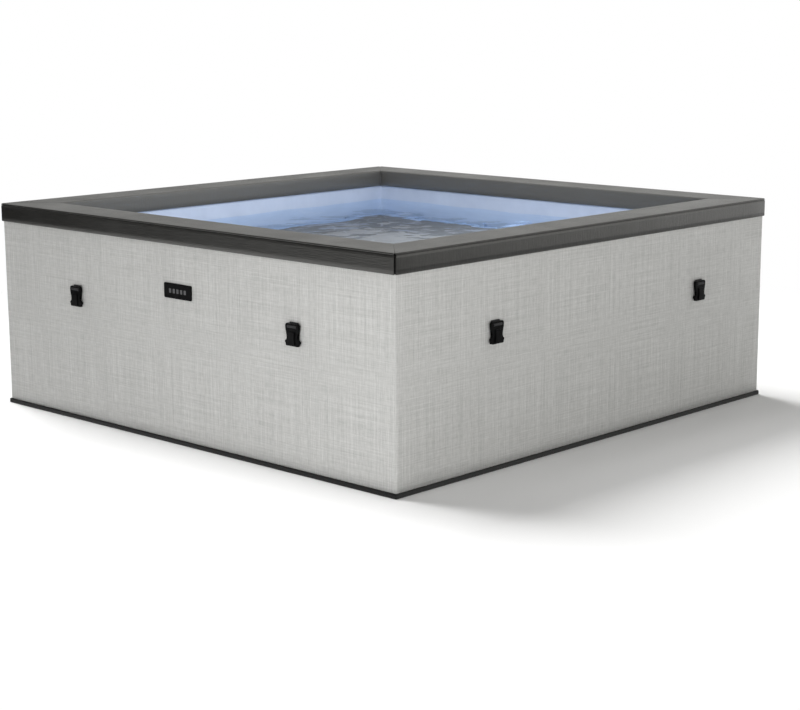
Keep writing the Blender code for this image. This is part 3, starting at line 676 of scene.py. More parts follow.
def slab(name, outline, back, front, width=0.0):
    """An outline given thickness, from one reach out to another, its edges rounded."""
    work = bmesh.new()
    face = work.faces.new([work.verts.new((x, -back, z)) for x, z in outline])
    made = bmesh.ops.extrude_face_region(work, geom=[face])["geom"]
    verts = [g for g in made if isinstance(g, bmesh.types.BMVert)]
    bmesh.ops.translate(work, vec=(0, back - front, 0), verts=verts)
    bmesh.ops.recalc_face_normals(work, faces=work.faces)
    if width:
        edges = [e for e in work.edges if abs(e.verts[0].co.y - e.verts[1].co.y) < 1e-6]
        bmesh.ops.bevel(
            work, geom=edges, offset=width, segments=3, profile=0.5, affect="EDGES", clamp_overlap=True
        )
    return shade(from_work(name, work))


def rounded_copy(node, width, body=BODY):
    """Stands for a hard CAD part, with its sharp edges rounded and the node's own look."""
    source = NODES[node]
    work = bmesh.new()
    work.from_mesh(source.data)
    bmesh.ops.transform(work, matrix=source.matrix_world, verts=work.verts)
    bmesh.ops.remove_doubles(work, verts=work.verts, dist=0.00002)
    bmesh.ops.dissolve_limit(work, angle_limit=math.radians(1), verts=work.verts, edges=work.edges)
    sharp = [e for e in work.edges if len(e.link_faces) == 2]
    sharp = [e for e in sharp if e.calc_face_angle() > math.radians(40)]
    bmesh.ops.bevel(
        work, geom=sharp, offset=width, segments=2, profile=0.5, affect="EDGES", clamp_overlap=True
    )
    show(shade(from_work(f"{node}_skin", work), 34), source.data.materials[0], body, [node])


# -------------------------------------------------------------- soft parts

def upright_section(low, high, rows, thick):
    """A wall sheet's section, up one face and down the other."""
    face = [(0.0, low + (high - low) * i / rows) for i in range(rows + 1)]
    return face + [(thick, z) for _, z in reversed(face)]


def jacket():
    """The woven jacket: taut, with faint slackness, open at the bay and round the drain."""
    low, high, half = SKIN_LOW.z, SKIN_HIGH.z, SKIN_HIGH.x

    def slack(point, normal, out):
        height = (point.z - low) / (high - low)
        calm = min(1.0, 6 * min(height, 1 - height))
        give = noise.noise(Vector((point.x * 2.3, point.y * 2.3, point.z * 3.1)))
        inwards = 0.0006 * calm * (give - 0.6)
        return point + Vector((*normal, 0)) * inwards

    section = upright_section(low, high, 14, -SHEET)
    skin = swept_ring("cladding_jacket", section, square_path(half, SKIN_CORNER, 0.06, 8), slack)
    bay_half, bay_low, bay_high = BAY_WINDOW
    window = box_mesh("window", (-bay_half, half - 0.07, bay_low), (bay_half, half + 0.03, bay_high))
    drain = sum(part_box("drain_valve"), Vector()) / 2
    boolean(skin, [window, bore(DRAIN_HOLE, 0.1, 32, (-half, drain.y, drain.z), "Y")])
    skin.data.shade_smooth()
    show(skin, WOVEN, replaced=["outer_cladding"])


def rim_section():
    """The cap's (reach, height, end inset) outline, from the outer foot over the top to the inside."""
    foot, top, out, inner = RIM_LOW.z, RIM_HIGH.z, RIM_OUTER, RIM_INNER
    face, lid = 0.0018, 0.0005  # how much the ends of the padded faces roll in
    points = [(out - 0.0012, foot, face), (out, foot + 0.0016, face)]
    points += [(out, foot + (top - foot) * f, face) for f in (0.25, 0.5, 0.75)]
    groove = top - LID_EDGE
    points += [(out, groove - 0.0030, face), (out - 0.0006, groove - 0.0018, face)]
    points += [(out - 0.0036, groove - 0.0016, face), (out - 0.0036, groove, face)]
    points += [(out - 0.0006, groove + 0.0002, face)]
    points += [(r, z, face) for r, z in arc((out - 0.0030, top - 0.0030), 0.0030, 0, 90, 5)]
    points += [(r, top, lid) for r in (out - 0.0160, out - 0.055, out - 0.090, inner + 0.020)]
    points += [(r, z, lid) for r, z in arc((inner + 0.004, top - 0.004), 0.004, 90, 180, 4)]
    points += [(inner, foot + (top - foot) * f, lid) for f in (0.66, 0.33)]
    points += [(inner, foot + 0.0014, lid), (inner + 0.0012, foot, lid)]
    points += [(inner + RIM_BOARD, z, 0.0) for z in (foot, top - RIM_LID)]
    points += [(SKIN_HIGH.x + GAP, z, 0.0) for z in (top - RIM_LID, foot)]
    return points


def rim_cover(side, section):
    """One padded section, mitred, with its ends rolled in at the corner seams."""
    near_ends = [RIM_ROLL * (1 - math.cos(math.radians(a))) for a in (0, 22, 45, 68, 90)]
    stations = [(-1, d) for d in near_ends] + [(None, f / 24) for f in range(1, 24)]
    stations += [(1, d) for d in reversed(near_ends)]
    verts = []
    for sign, value in stations:
        for r, z, inset in section:
            slot = RIM_SLOT * max(0.0, min(1.0, (r - RIM_OUTER + 0.014) / 0.006))
            reach = r - GAP * 0.75 - slot
            if sign is None:
                along = (2 * value - 1) * (reach - RIM_ROLL)
                shrink = 0.0
            else:
                along = sign * (reach - value)
                shrink = inset * (1 - math.sin(math.acos(1 - value / RIM_ROLL)))
            is_top = z > RIM_HIGH.z - 0.002
            x_in = shrink if r > RIM_OUTER - 0.005 else (-shrink if r < RIM_INNER + 0.002 else 0.0)
            verts.append(Vector((along, -(r - x_in), z - (shrink if is_top else 0.0))))
    size = (len(stations), len(section))
    faces = grid(*size, ring=False) + caps(*size)
    return sharpen(turn_to(new_object(f"rim_cover_{side}", verts, faces), side), 50)


def rims():
    section = rim_section()
    for side in SIDES:
        skin = VINYL_X if side in ("front", "back") else VINYL_Y
        cover = show(rim_cover(side, section), skin, replaced=[f"rim_{side}"])
    low, high, radius = RIM_LOW.z + 0.0012, RIM_HIGH.z - 0.0016, BEAD_RADIUS
    bead = [(radius - 0.001, low), (radius, low + 0.001), (radius, high - 0.0022)]
    bead += [(radius - 0.0008, high - 0.0006), (radius - 0.0022, high)]
    for side in SIDES:
        seam = lathe(f"rim_corner_seam_{side}", bead, 12, Matrix.Translation((BEAD_AT, -BEAD_AT, 0)), True)
        show(turn_to(seam, side), BLACK)


def mat_slab():
    """The black ground mat, its edge rolled over."""
    low, high, roll = MAT_LOW.z, MAT_HIGH.z, 0.003
    edge = arc((-roll, high - roll), roll, 90, 0, 4) + arc((-roll, low + roll), roll, 0, -90, 4)
    path = square_path(MAT_HIGH.x, 0.006, 0.15, 5)
    size, turns = len(edge), len(path)
    faces = grid(turns, size, tube=False) + [tuple(i * size for i in range(turns))]
    faces.append(tuple(i * size + size - 1 for i in reversed(range(turns))))
    slab_made = sharpen(new_object("ground_mat_slab", swept(edge, path), faces), 40)
    show(slab_made, MAT_BLACK, replaced=["ground_mat"])


def liner():
    """The blue liner's walls, a little slack between its welds, and its grey floor."""
    low, high = LINER_LOW.z, LINER_HIGH.z

    def slack(point, normal, out):
        if out:
            return point
        give = noise.noise(Vector((point.x * 6, point.y * 6, point.z * 2.5)))
        return point + Vector((*normal, 0)) * (0.0006 + 0.0006 * give)

    section = upright_section(low, high, 20, SHEET)
    walls = swept_ring("liner_wall_skin", section, square_path(LINER_INNER, 0.0015, 0.04, 2), slack)
    outlet, inlet = (sum(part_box(node), Vector()) / 2 for node in ("return_fitting", "filter_housing"))
    places = (((outlet.x, outlet.z), LINER_HOLE), (AIR_INLET, AIR_HOLE), ((inlet.x, inlet.z), LINER_HOLE))
    boolean(walls, [bore(radius, 0.02, 24, (x, LINER_INNER, z), "X") for (x, z), radius in places])
    walls.data.shade_smooth()
    show(sharpen(walls, 40), LINER_BLUE, replaced=["liner_walls"])

    def dip(x, y):
        return FLOOR_HIGH.z - (0.0006 + 0.0006 * noise.noise(Vector((x * 5, y * 5, 0.3))))

    half, steps = FLOOR_HIGH.x, 40
    verts = square_grid(half, steps, dip) + square_grid(half, steps, lambda x, y: FLOOR_LOW.z)
    floor = sharpen(new_object("liner_floor_skin", verts, two_sided(steps + 1, steps + 1)), 40)
    show(floor, LINER_GREY, replaced=["liner_floor"])


# ---------------------------------------------------------------- fittings

def socket_mesh():
    """A strap socket seen from outside, its top middle at the origin of the wall's surface."""
    back, front, crest = 0.0045, 0.0130, 0.0168
    half = arc((0.0202, -0.0068), 0.0068, 90, 0, 4)
    half += [(0.0268, -0.0150), (0.0250, -0.0235), (0.0230, -0.0315), (0.0222, -0.0400), (0.0229, -0.0462)]
    half += [(0.0256, -0.0492), (0.0284, -0.0508), (0.0291, -0.0540), (0.0283, -0.0568), (0.0264, -0.0590)]
    half += [(0.0262, -0.0630), (0.0240, -0.0658), (0.0120, -0.0660)]
    body = slab("socket", smooth_loop(mirrored(half), 2), back, front, 0.0019)
    half = [(0.0090, -0.0240), (0.0122, -0.0262), (0.0112, -0.0400), (0.0118, -0.0520), (0.0138, -0.0600)]
    half += [(0.0120, -0.0625)]
    pad = slab("socket_pad", smooth_loop(mirrored(half), 3), front - 0.0015, crest, 0.0022)
    shade(boolean(body, [pad], "UNION"))
    slots = ((-0.0137, -0.0113), (-0.0067, -0.0045))  # for the tape
    wells = [(0.0195, (0.0, 0.02), z) for z in slots]
    wells += [(0.0150, (0.0060, 0.0115), (-0.0725, -0.0255))]  # the mouth
    wells += [(0.0310, (0.0060, 0.0115), (-0.0415, -0.0305))]  # the side openings
    cutters = [box_mesh("well", (-x, -w[1], z[0]), (x, -w[0], z[1]), 0.0004) for x, w, z in wells]
    return shade(boolean(body, cutters))


def tape_mesh():
    """The tape: down from its fold at the wall, round the socket's bar and back up behind it."""
    thick, half, bend = 0.0012, 0.0190, 0.0012
    turns = [(0.0012, 0.0026), (0.0036, 0.0026), (0.0036, -0.0122), (0.0139, -0.0122), (0.0139, -0.0058)]
    turns = [Vector(turn) for turn in turns + [(0.0050, -0.0058)]]
    path = [turns[0]]
    for before, corner, after in zip(turns, turns[1:], turns[2:]):
        start = corner + (before - corner).normalized() * bend
        end = corner + (after - corner).normalized() * bend
        path += [start.lerp(corner, t).lerp(corner.lerp(end, t), t) for t in (0, 0.25, 0.5, 0.75, 1)]
    path.append(turns[-1])
    columns = [-half, -half + 0.0006] + [half * f for f in (-0.5, 0, 0.5)] + [half - 0.0006, half]
    thin = [0.35, 1, 1, 1, 1, 1, 0.35]  # the selvedges are thinner
    verts = []
    for side in (-1, 1):
        for at, way in zip(path, directions(path)):
            across = Vector((-way.y, way.x))
            for x, t in zip(columns, thin):
                w, z = at + across * side * t * thick / 2
                verts.append(Vector((x, -w, z)))
    return new_object("tape", verts, two_sided(len(path), len(columns)))


def strap_sockets():
    models = {"buckle": (socket_mesh(), BLACK, "black_plastic"), "webbing": (tape_mesh(), TAPE, "webbing")}
    for side, degrees in SIDES.items():
        spin = Matrix.Rotation(math.radians(degrees), 4, "Z")
        for end in ("left", "right"):
            low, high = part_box(f"buckle_{side}_{end}")
            along = (spin.inverted() @ ((low + high) / 2)).x
            move = spin @ Matrix.Translation((along, -SKIN_HIGH.x, high.z))
            for kind, (model, skin, slot) in models.items():
                node = f"{kind}_{side}_{end}"
                show(copy_of(model, f"{node}_skin", move), skin, f"{side}_{end}_buckle", [node])
    remove(*(model for model, _, _ in models.values()))


def edging(name, half, radii, middle, inset, reaches, width, through):
    """A raised line round a plate: an oblong with a smaller one cut through it."""
    inner = tuple(size - inset for size in half)
    edge = slab(name, round_rectangle(half, radii[0], middle), *reaches, width)
    return shade(boolean(edge, [slab("hole", round_rectangle(inner, radii[1], middle), through, 0.95)]))


def badge():
    """A plain plate with a raised edge and a row of short bars."""
    low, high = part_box("front_badge")
    half_x, half_z = high.x, (high.z - low.z) / 2
    middle = (0, (high.z + low.z) / 2)
    back, face, crest = -high.y, -low.y - BADGE_RELIEF, -low.y
    plate = slab("badge_plate", round_rectangle((half_x, half_z), 0.005, middle), back, face, 0.0010)
    show(plate, BLACK, replaced=["front_badge"])
    half = (half_x - BADGE_EDGE, half_z - BADGE_EDGE)
    edge = edging("badge_edge", half, (0.004, 0.002), middle, 0.0022, (face - 0.001, crest), 0.0003, 0.90)
    show(edge, BLACK)
    for i in range(BADGE_BARS):
        outline = round_rectangle((0.0052, 0.0068), 0.0018, (BAR_PITCH * (i - 2), middle[1]))
        bar = slab(f"badge_bar_{i + 1}", outline, face - 0.0005, face + 0.0004, 0.0002)
        show(bar, MARK)


def back_face(node):
    """The middle (along, height) and the outer reach of a CAD node on the back wall."""
    low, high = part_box(node)
    return -(low.x + high.x) / 2, (low.z + high.z) / 2, high.y


def display():
    """The lit figures of the temperature and a degree mark."""
    middle_x, middle_z, face = back_face("display_lens")
    half_x, half_z = FIGURE_HALF
    lit = {}
    for place, figure in ((-0.0095, "3"), (0.0095, "8")):
        for segment in SEGMENTS[figure]:
            x, z, level = SEGMENT_PLACES[segment]
            at = (middle_x + place + x * half_x, middle_z + z * half_z)
            half = (0.0036, 0.0009) if level else (0.0009, 0.0032)
            lit[f"figure_{figure}_{segment}"] = round_rectangle(half, 0.0008, at, 2)
    at = (middle_x + 0.0185, middle_z + half_z)
    lit["figure_degree"] = round_rectangle((0.0012, 0.0012), 0.0011, at)
    for name, outline in lit.items():
        on_back(slab(name, outline, face - 0.0002, face + 0.0001), skin=LIT)


def key_marks():
    """What is printed on the five keys."""
    chevron = [(-0.0034, -0.0016), (0, 0.0018), (0.0034, -0.0016), (0.0026, -0.0024), (0, 0.0002)]
    chevron += [(-0.0026, -0.0024)]
    drop = [(0, 0.0040), (0.0024, 0.0004), (0.0020, -0.0026), (0, -0.0036), (-0.0020, -0.0026)]
    drop += [(-0.0024, 0.0004)]
    bubbles = (((-0.0016, -0.0014), 0.0016), ((0.0018, -0.0004), 0.0012), ((0, 0.0024), 0.0010))
    ring = arc((0, 0), 0.0034, 125, 415, 14) + arc((0, 0), 0.0026, 415, 125, 14)
    marks = {
        "power": [ring, round_rectangle((0.0004, 0.0018), 0.0003, (0, 0.0026), 1)],
        "heat": [smooth_loop(drop)],
        "bubbles": [arc(at, r, 0, 330, 11) for at, r in bubbles],
        "warmer": [chevron],
        "cooler": [[(x, -z) for x, z in reversed(chevron)]],
    }
    for key, outlines in marks.items():
        x, z, face = back_face(f"{key}_button")
        for i, outline in enumerate(outlines):
            outline = [(x + u, z + v) for u, v in outline]
            mark = slab(f"{key}_mark_{i + 1}", outline, face - 0.0003, face + 0.00012)
            on_back(mark, f"{key}_key", DARK)


def screw_mesh():
    """A domed screw head with a cross recess, standing on the plane y = 0."""
    profile = [(0.0042, 0.0), (0.0042, 0.0005), (0.0038, 0.0011), (0.0028, 0.0016), (0.0014, 0.0019)]
    head = lathe("screw", profile, 20, Matrix.Rotation(QUARTER, 4, "X"), True)
    long, thin = 0.0022, 0.00045
    arms = [box_mesh("arm", (-x, -0.003, -z), (x, -0.0009, z)) for x, z in ((long, thin), (thin, long))]
    return shade(boolean(head, arms))


def flange_screws():
    model = screw_mesh()
    places = [(0.14 * i, HOUSING_LOW.z + 0.025) for i in range(-2, 3)]
    places += [(-0.3205, 0.20), (-0.3205, 0.35), (-0.3205, 0.50), (0.3235, 0.35)]
    for i, (x, z) in enumerate(places):
        move = Matrix.Translation((x, -FLANGE_FACE, z)) @ Matrix.Rotation(0.7 * i, 4, "Y")
        on_back(copy_of(model, f"flange_screw_{i + 1}", move), BODY, DARK_STEEL)
    remove(model)


def door_face():
    """Trim on the equipment door: a raised edge and hoods over the louvres."""
    reaches = (DOOR_FACE, DOOR_CREST)
    edge = edging("door_edge", DOOR_HALF, (0.012, 0.007), DOOR_MIDDLE, 0.006, reaches, 0.0004, 0.91)
    on_back(edge, "door", DARK)
    x, middle = LOUVRES_AT
    for row in range(LOUVRES):
        z = middle - LOUVRE_PITCH * 3 + LOUVRE_PITCH * row + 0.0034
        hood = [(0, z), (0, z + 0.0016), (0.0014, z + 0.0016), (0.0042, z - 0.0034), (0.0036, z - 0.0040)]
        ends = (x - LOUVRE_HALF, x + LOUVRE_HALF)
        verts = [Vector((end, -(DOOR_FACE + out), height)) for end in ends for out, height in hood]
        faces = [(0, 1, 2, 3, 4), (9, 8, 7, 6, 5)]
        faces += [(i, (i + 1) % 5, (i + 1) % 5 + 5, i + 5) for i in range(5)]
        blade = new_object(f"louvre_hood_{row + 1}", verts, faces, False)
        on_back(blade, "door", DARK)


def ribbed_hoses():
    """The machines' hoses, ribbed but for their ends, along the same routes as their CAD solids."""
    for name, (radius, points) in HOSES.items():
        path = flowing_path(points, RIB_PITCH / 4)
        length = sum((b - a).length for a, b in zip(path, path[1:]))
        verts, across, gone = [], None, 0.0
        for i, (at, ahead) in enumerate(zip(path, directions(path))):
            if across is None:
                across = ahead.orthogonal().normalized()
            else:
                across = (across - ahead * across.dot(ahead)).normalized()
                gone += (at - path[i - 1]).length
            upright = ahead.cross(across)
            ribbed = min(1.0, max(0.0, (min(gone, length - gone) - HOSE_END) / 0.004))
            wave = 0.5 - 0.5 * math.cos(math.tau * gone / RIB_PITCH)
            size = radius - GAP - RIB_DEPTH * ribbed * wave
            for k in range(HOSE_SIDES):
                angle = math.tau * k / HOSE_SIDES
                verts.append(at + (across * math.cos(angle) + upright * math.sin(angle)) * size)
        count = (len(path), HOSE_SIDES)
        hose = new_object(f"{name}_ribbed", verts, grid(*count, ring=False) + caps(*count))
        on_back(sharpen(hose, 60), skin=HOSE, replaced=[name])


def hose_clamps():
    """Worm-drive clamps: a band with its screw's housing."""
    band = [(0.0, -0.0050), (0.0010, -0.0050), (0.0013, -0.0040), (0.0013, 0.0040), (0.0010, 0.0050)]
    band += [(0.0, 0.0050)]
    for i, (place, axis, radius) in enumerate(CLAMPS):
        here = frame_at(place, axis)
        ring = lathe("band", [(radius + 0.0002 + r, z) for r, z in band], 32, here)
        screw = box_mesh("screw", (radius, -0.0060, -0.0035), (radius + 0.0065, 0.0060, 0.0035), 0.0012)
        screw.data.transform(here)
        clamp = shade(fused(f"hose_clamp_{i + 1}", [ring, screw]), 40)
        on_back(clamp, skin=STEEL)


def spread_round(count, frame, full, low, high, width):
    """Blocks set evenly round a frame's z axis, over a full turn or a part of one."""
    blocks = []
    for i in range(count):
        block = box_mesh("block", low, high, width, 1)
        block.data.transform(frame @ Matrix.Rotation(full * i / count, 4, "Z"))
        blocks.append(block)
    return blocks


def machine_details():
    """The pump's cooling fins and the blower's wire guard."""
    axis = frame_at((PUMP_LEFT, -REACH, PUMP_HEIGHT), (1, 0, 0))
    fins = spread_round(24, axis, math.tau, (0.0405, -0.0011, 0.014), (0.0465, 0.0011, 0.112), 0.0006)
    on_back(shade(fused("pump_fins", fins)), skin=BLACK)

    mouth = frame_at((RETURN, -0.9051, BLOWER_HEIGHT), (0, -1, 0))
    wires = []
    for radius in (0.014, 0.026, 0.038, 0.049):
        round_wire = [math.tau * k / 8 for k in range(8)]
        wire = [(radius + 0.0009 * math.cos(a), 0.0012 + 0.0009 * math.sin(a)) for a in round_wire]
        wires.append(lathe("wire", wire, 40, mouth))
    wires += spread_round(3, mouth, math.pi, (-0.052, -0.0010, 0.0004), (0.052, 0.0010, 0.0018), 0.0004)
    on_back(shade(fused("blower_guard", wires)), skin=STEEL)


def cartridge_pleats():
    pleats, depth = 44, 0.0085
    axis = frame_at((INLET, -0.8200, PUMP_HEIGHT), (0, 1, 0))
    verts = []
    for pleated, z in ((True, 0.0400), (True, 0.0934), (False, 0.0934), (False, 0.0400)):
        for i in range(2 * pleats):
            radius = 0.0372 + depth * (i % 2) if pleated else 0.0205
            angle = math.pi * i / pleats
            verts.append(axis @ Vector((radius * math.cos(angle), radius * math.sin(angle), z)))
    paper = new_object("filter_cartridge_pleats", verts, grid(4, 2 * pleats), False)
    on_back(paper, skin=PAPER, replaced=["filter_cartridge"])


def flat_details():
    """The pad inside the door, cut away at the louvres, and the control box's lid."""
    outline = [(-0.26, 0.150), (0.100, 0.150), (0.100, 0.262), (0.240, 0.262), (0.240, 0.535)]
    pad = slab("door_insulation", outline + [(-0.26, 0.535)], 0.9176, 0.9236, 0.0018)
    on_back(pad, "door", GREY_FOAM)
    outline = round_rectangle((0.0425, 0.0935), 0.003, (0.104, 0.440))
    lid = slab("control_box_lid", outline, 0.8230, 0.8262, 0.0006)
    on_back(lid, skin=BLACK)


def air_jets():
    """The nozzles on the air ring, the same along each side."""
    dome = [(0.0001, 0.0022), (0.0020, 0.0020), (0.0038, 0.0010), (0.0042, 0.0), (0.0001, 0.0)]
    jets = []
    for degrees in SIDES.values():
        spin = Matrix.Rotation(math.radians(degrees), 4, "Z")
        for i in range(JETS_A_SIDE):
            at = Matrix.Translation((JET_PITCH * (i - 3), -JET_REACH, JET_HEIGHT))
            jets.append(lathe("jet", dome, 12, spin @ at))
    show(fused("air_ring_jets", jets), KEY_GREY)


def drain_strainer():
    """A domed cap with a ring of holes over the drain, inside the left wall."""
    inwards = frame_at(STRAINER_AT, (0, 1, 0))
    dome = [(0.0234, 0.0), (0.0234, 0.0016), (0.0215, 0.0030), (0.0150, 0.0043), (0.0070, 0.0049)]
    dome += [(0.0001, 0.0051), (0.0001, 0.0)]
    strainer = lathe("drain_strainer", dome, 40, inwards)
    hole = [(0.0001, -0.01), (0.0024, -0.01), (0.0024, 0.01), (0.0001, 0.01)]
    holes = []
    for i in range(10):
        at = inwards @ Matrix.Rotation(math.tau * i / 10, 4, "Z") @ Matrix.Translation((0.0145, 0, 0))
        holes.append(lathe("hole", hole, 12, at))
    show(turn_to(shade(boolean(strainer, holes)), "left"), PALE)


# ---------------------------------------------------------- stage and view

def stage_water():
    """Rippled water up to its usual level, with painted glints of light on it: contents, so part of the
    stage and not of the tub.
    """

    def ripple(x, y):
        broad = noise.fractal(Vector((x * 2.6, y * 2.6, 1.7)), 0.9, 2.0, 3)
        crest = noise.ridged_multi_fractal(Vector((x * 4.5 + 3, y * 4.5, 7.1)), 0.8, 2.1, 3, 0.9, 2.0)
        return WATER_LEVEL + 0.0034 * broad + 0.0016 * (crest - 1)

    verts = square_grid(LINER_INNER + 0.0008, WATER_STEPS, ripple)
    side = WATER_STEPS + 1
    water = new_object("stage_water", verts, flipped(grid(side, side, False, False)))
    look = Look("stage_water")
    at = look.place()
    look.nodes.remove(look.shader)
    normal = look.bump(look.noise(at, 16.0, 2.0, 0.5), 0.12, 0.006)
    facing = {"Roughness": 0.0, "Normal": normal}
    bent = look.node("BsdfRefraction", {"Color": (0.78, 0.89, 1.0), "IOR": 1.42, **facing}).outputs[0]
    mirror = look.node("BsdfGlossy", {"Color": (0.95, 0.97, 1.0), **facing}).outputs[0]
    share = look.times(look.node("Fresnel", {"IOR": 1.33, "Normal": normal}).outputs[0], 0.45)
    glass = look.either(share, bent, mirror)
    # Painted glints: thin glowing lines in patches stand in for sunlight glinting off the ripples and for
    # caustics.
    drift = look.node("TexNoise", {"Vector": at, "Scale": 5.0, "Detail": 2.0}).outputs["Color"]
    pushed = look.node("VectorMath", {0: drift, 1: (0.16, 0.16, 0.0)}, operation="MULTIPLY").outputs[0]
    moved = look.node("VectorMath", {0: at, 1: pushed}, operation="ADD").outputs[0]
    cells = look.node("TexVoronoi", {"Vector": moved, "Scale": 9.0}, feature="DISTANCE_TO_EDGE")
    painted_glint_lines = look.remap(cells.outputs["Distance"], 0.0, 0.035, 0.42, 0.0)
    painted_glint_patches = look.remap(look.noise(at, 3.0, 2.0, 0.5), 0.42, 0.62)
    glass = look.either(look.times(painted_glint_lines, painted_glint_patches), glass, look.glow((0.72, 0.82, 1.0), 0.75))
    clear = look.node("BsdfTransparent", {"Color": (0.95, 0.98, 1.0)}).outputs[0]
    rays = look.node("LightPath", {}).outputs
    light_ray = look.math("MAXIMUM", rays["Is Shadow Ray"], rays["Is Diffuse Ray"])
    water.data.materials.append(look.show_as(look.either(light_ray, glass, clear)))


def stage_floor():
    """A pale floor that fades into plain white. Reflections show it darker towards the front left."""
    size = 40
    corners = [(-size, -size, 0), (size, -size, 0), (size, size, 0), (-size, size, 0)]
    floor = new_object("stage_floor", corners, [(0, 1, 2, 3)], False)
    look = Look("stage_floor")
    at = look.place()
    look.set(Base_Color=(0.88, 0.88, 0.88), Roughness=0.9, Specular_IOR_Level=0.0)
    spread = look.stretched(at, (0.30, 0.30, 0.0))
    distance = look.node("VectorMath", {0: spread}, operation="LENGTH").outputs["Value"]
    fade = look.remap(distance, 0.62, 0.90, interpolation_type="SMOOTHSTEP")
    seen = look.either(fade, look.shader.outputs[0], look.glow(WHITE, 1.0))
    parts = look.split(at)
    from_left = look.remap(parts["X"], -4.0, -1.2, 0.0, 2.0)
    from_left = look.times(from_left, look.remap(parts["X"], 0.0, 2.5, 1.0, 0.37))
    from_front = look.remap(parts["Y"], 2.0, 6.0, -0.70, 0.95)
    strength = look.math("MAXIMUM", look.add(from_left, from_front), 0.0)
    glossy = look.node("LightPath", {}).outputs["Is Glossy Ray"]
    floor.data.materials.append(look.show_as(look.either(glossy, seen, look.glow(WHITE, strength))))


def world_look():
    """White to the camera; as light, a soft dome that is brightest behind the tub."""
    look = Look("studio", "worlds")
    look.nodes.clear()
    parts = look.split(look.node("TexCoord", {}).outputs["Generated"])
    up = look.remap(parts["Z"], -0.05, 0.9, DOME_LOW, DOME_HIGH)
    depth = look.remap(parts["Y"], -1.0, 1.0, DOME_FRONT, DOME_BACK)
    across = look.remap(parts["X"], -1.0, 1.0, DOME_LEFT, DOME_RIGHT)
    dome = look.glow(DOME_COLOUR, look.times(look.times(up, depth), across), "Background")
    camera_ray = look.node("LightPath", {}).outputs["Is Camera Ray"]
    seen = look.either(camera_ray, dome, look.glow(WHITE, 1.0, "Background"))
    look.node("OutputWorld", {"Surface": seen})
    bpy.context.scene.world = look.owner


def hidden_light(name, kind, place, direction, power):
    """A light that falls on surfaces but isn't mirrored in them."""
    light = placed(name, bpy.data.lights.new(name, kind))
    light.data.energy = power
    light.location = place
    light.rotation_euler = Vector(direction).to_track_quat("-Z", "Y").to_euler()
    light.visible_glossy = False
    return light.data


def studio():
    world_look()
    hidden_light("key_sun", "SUN", (0, 0, 0), SUN_AIM, SUN_POWER).angle = math.radians(SUN_ANGLE)
    for name, place, aim, size, power in PANELS:
        data = hidden_light(name, "AREA", place, Vector(aim) - Vector(place), power)
        data.shape = "RECTANGLE"
        data.size, data.size_y = size
    bpy.context.scene.view_settings.view_transform = "Standard"


def camera():
    """The camera stands off the near right corner, a little above the rim, looking slightly down."""
    data = bpy.data.cameras.new("view")
    data.lens, data.sensor_width, data.shift_x = 81.03, 36, -0.025
    data.dof.use_dof = False
    data.clip_end = 200
    eye = placed("view", data)
    heading = Matrix.Rotation(math.radians(42.91), 4, "Z")
    tilt = Matrix.Rotation(math.radians(90 - 11.15), 4, "X")
    roll = Matrix.Rotation(math.radians(-0.145), 4, "Z")
    eye.matrix_world = Matrix.Translation((4.262, -4.416, 1.362)) @ heading @ tilt @ roll
    bpy.context.scene.camera = eye


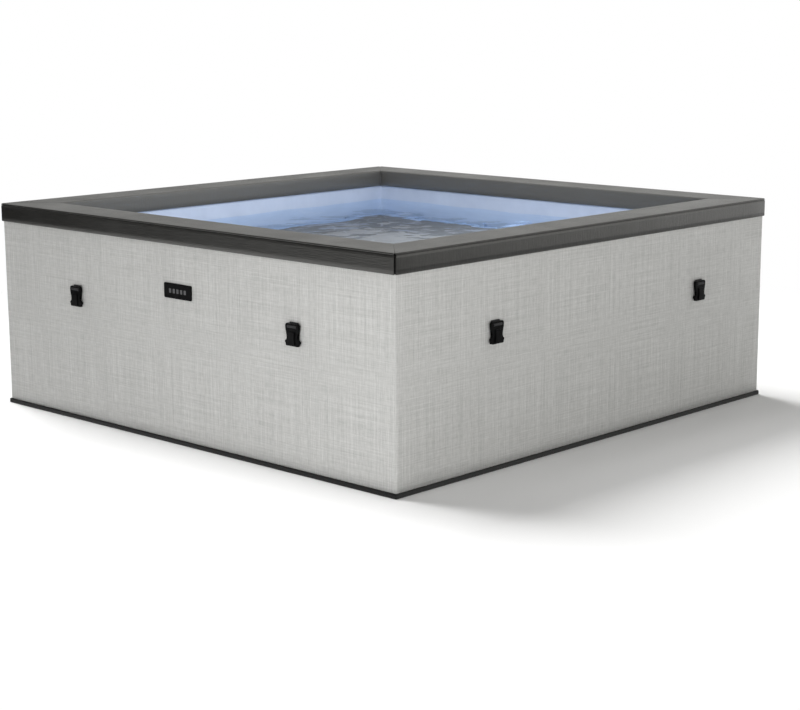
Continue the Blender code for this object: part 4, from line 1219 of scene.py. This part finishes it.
camera()
WOVEN = woven_look()
VINYL_X = vinyl_look("rim_vinyl_x", (22, 240, 330))
VINYL_Y = vinyl_look("rim_vinyl_y", (60, 330, 30))
LINER_BLUE = liner_look("blue_vinyl", (0.44, 0.515, 0.66), (0.495, 0.572, 0.72), 0.006)
LINER_GREY = liner_look("grey_vinyl", (0.200, 0.183, 0.172), (0.300, 0.276, 0.262), 0.004)
MAT_BLACK = rubber_look("mat_rubber", (0.006, 0.006, 0.006))
BLACK = moulded_look("black_plastic", (0.0018, 0.0018, 0.0020), 0.36, specular=0.06)
DARK = moulded_look("dark_plastic", (0.028, 0.028, 0.029), 0.45, specular=0.35)
PALE = moulded_look("pale_plastic", (0.45, 0.55, 0.73), 0.35, spread=0.06)
KEY_GREY = moulded_look("key_plastic", (0.58, 0.59, 0.60), 0.40, spread=0.06)
MARK = moulded_look("badge_mark", (0.070, 0.070, 0.072), 0.40)
LIT = lit_look()
HOSE = rubber_look("hose_rubber")
GREY_FOAM = rubber_look("grey_foam", (0.085, 0.085, 0.088))
TAPE = tape_look()
STEEL = steel_look("brushed_stainless", (0.50, 0.50, 0.51), (0.66, 0.66, 0.67))
DARK_STEEL = steel_look("blackened_steel", (0.035, 0.035, 0.036), (0.075, 0.075, 0.078))
FOAM = foam_look()
PAPER = paper_look()
LENS = lens_look()

# The CAD nodes' looks, by how their names start
NODE_LOOKS = (
    (BLACK, "air_blower buckle_ circulation_pump control_ door_latch drain_ front_badge power_gland"),
    (DARK, "pump_cover service_door unit_housing"),
    (KEY_GREY, "blower_fan bubbles_ cooler_ heat_ power_button pump_impeller warmer_"),
    (PALE, "air_ring filter_cap filter_housing return_fitting return_nozzle"),
    (HOSE, "air_hose heater_hose return_hose suction_hose"),
    (FOAM, "floor_pad wall_core_"), (TAPE, "webbing_"), (STEEL, "heater_tube"),
    (PAPER, "filter_cartridge"), (LENS, "display_lens"),
)
ROUNDED = (
    ("service_door", 0.0007, "door"), ("unit_housing", 0.0006), ("door_latch", 0.0007, "latch"),
    ("drain_cap", 0.0008, "drain_stopper"), ("drain_valve", 0.0008),
    ("filter_cap", 0.0009, "cap_of_filter"), ("return_fitting", 0.0010), ("air_blower", 0.0010),
    ("circulation_pump", 0.0010), ("pump_cover", 0.0010), ("filter_housing", 0.0008),
    ("power_gland", 0.0005),
)
for skin, starts in NODE_LOOKS:
    for name, obj in NODES.items():
        if name.startswith(tuple(starts.split())):
            obj.data.materials.clear()
            obj.data.materials.append(skin)

for build in (
    jacket, rims, mat_slab, liner, strap_sockets, badge, display, key_marks, flange_screws, door_face,
    hose_clamps, machine_details, cartridge_pleats, flat_details, air_jets, drain_strainer, ribbed_hoses,
):
    build()
for row in ROUNDED:
    rounded_copy(*row)
stage_water()
stage_floor()
studio()
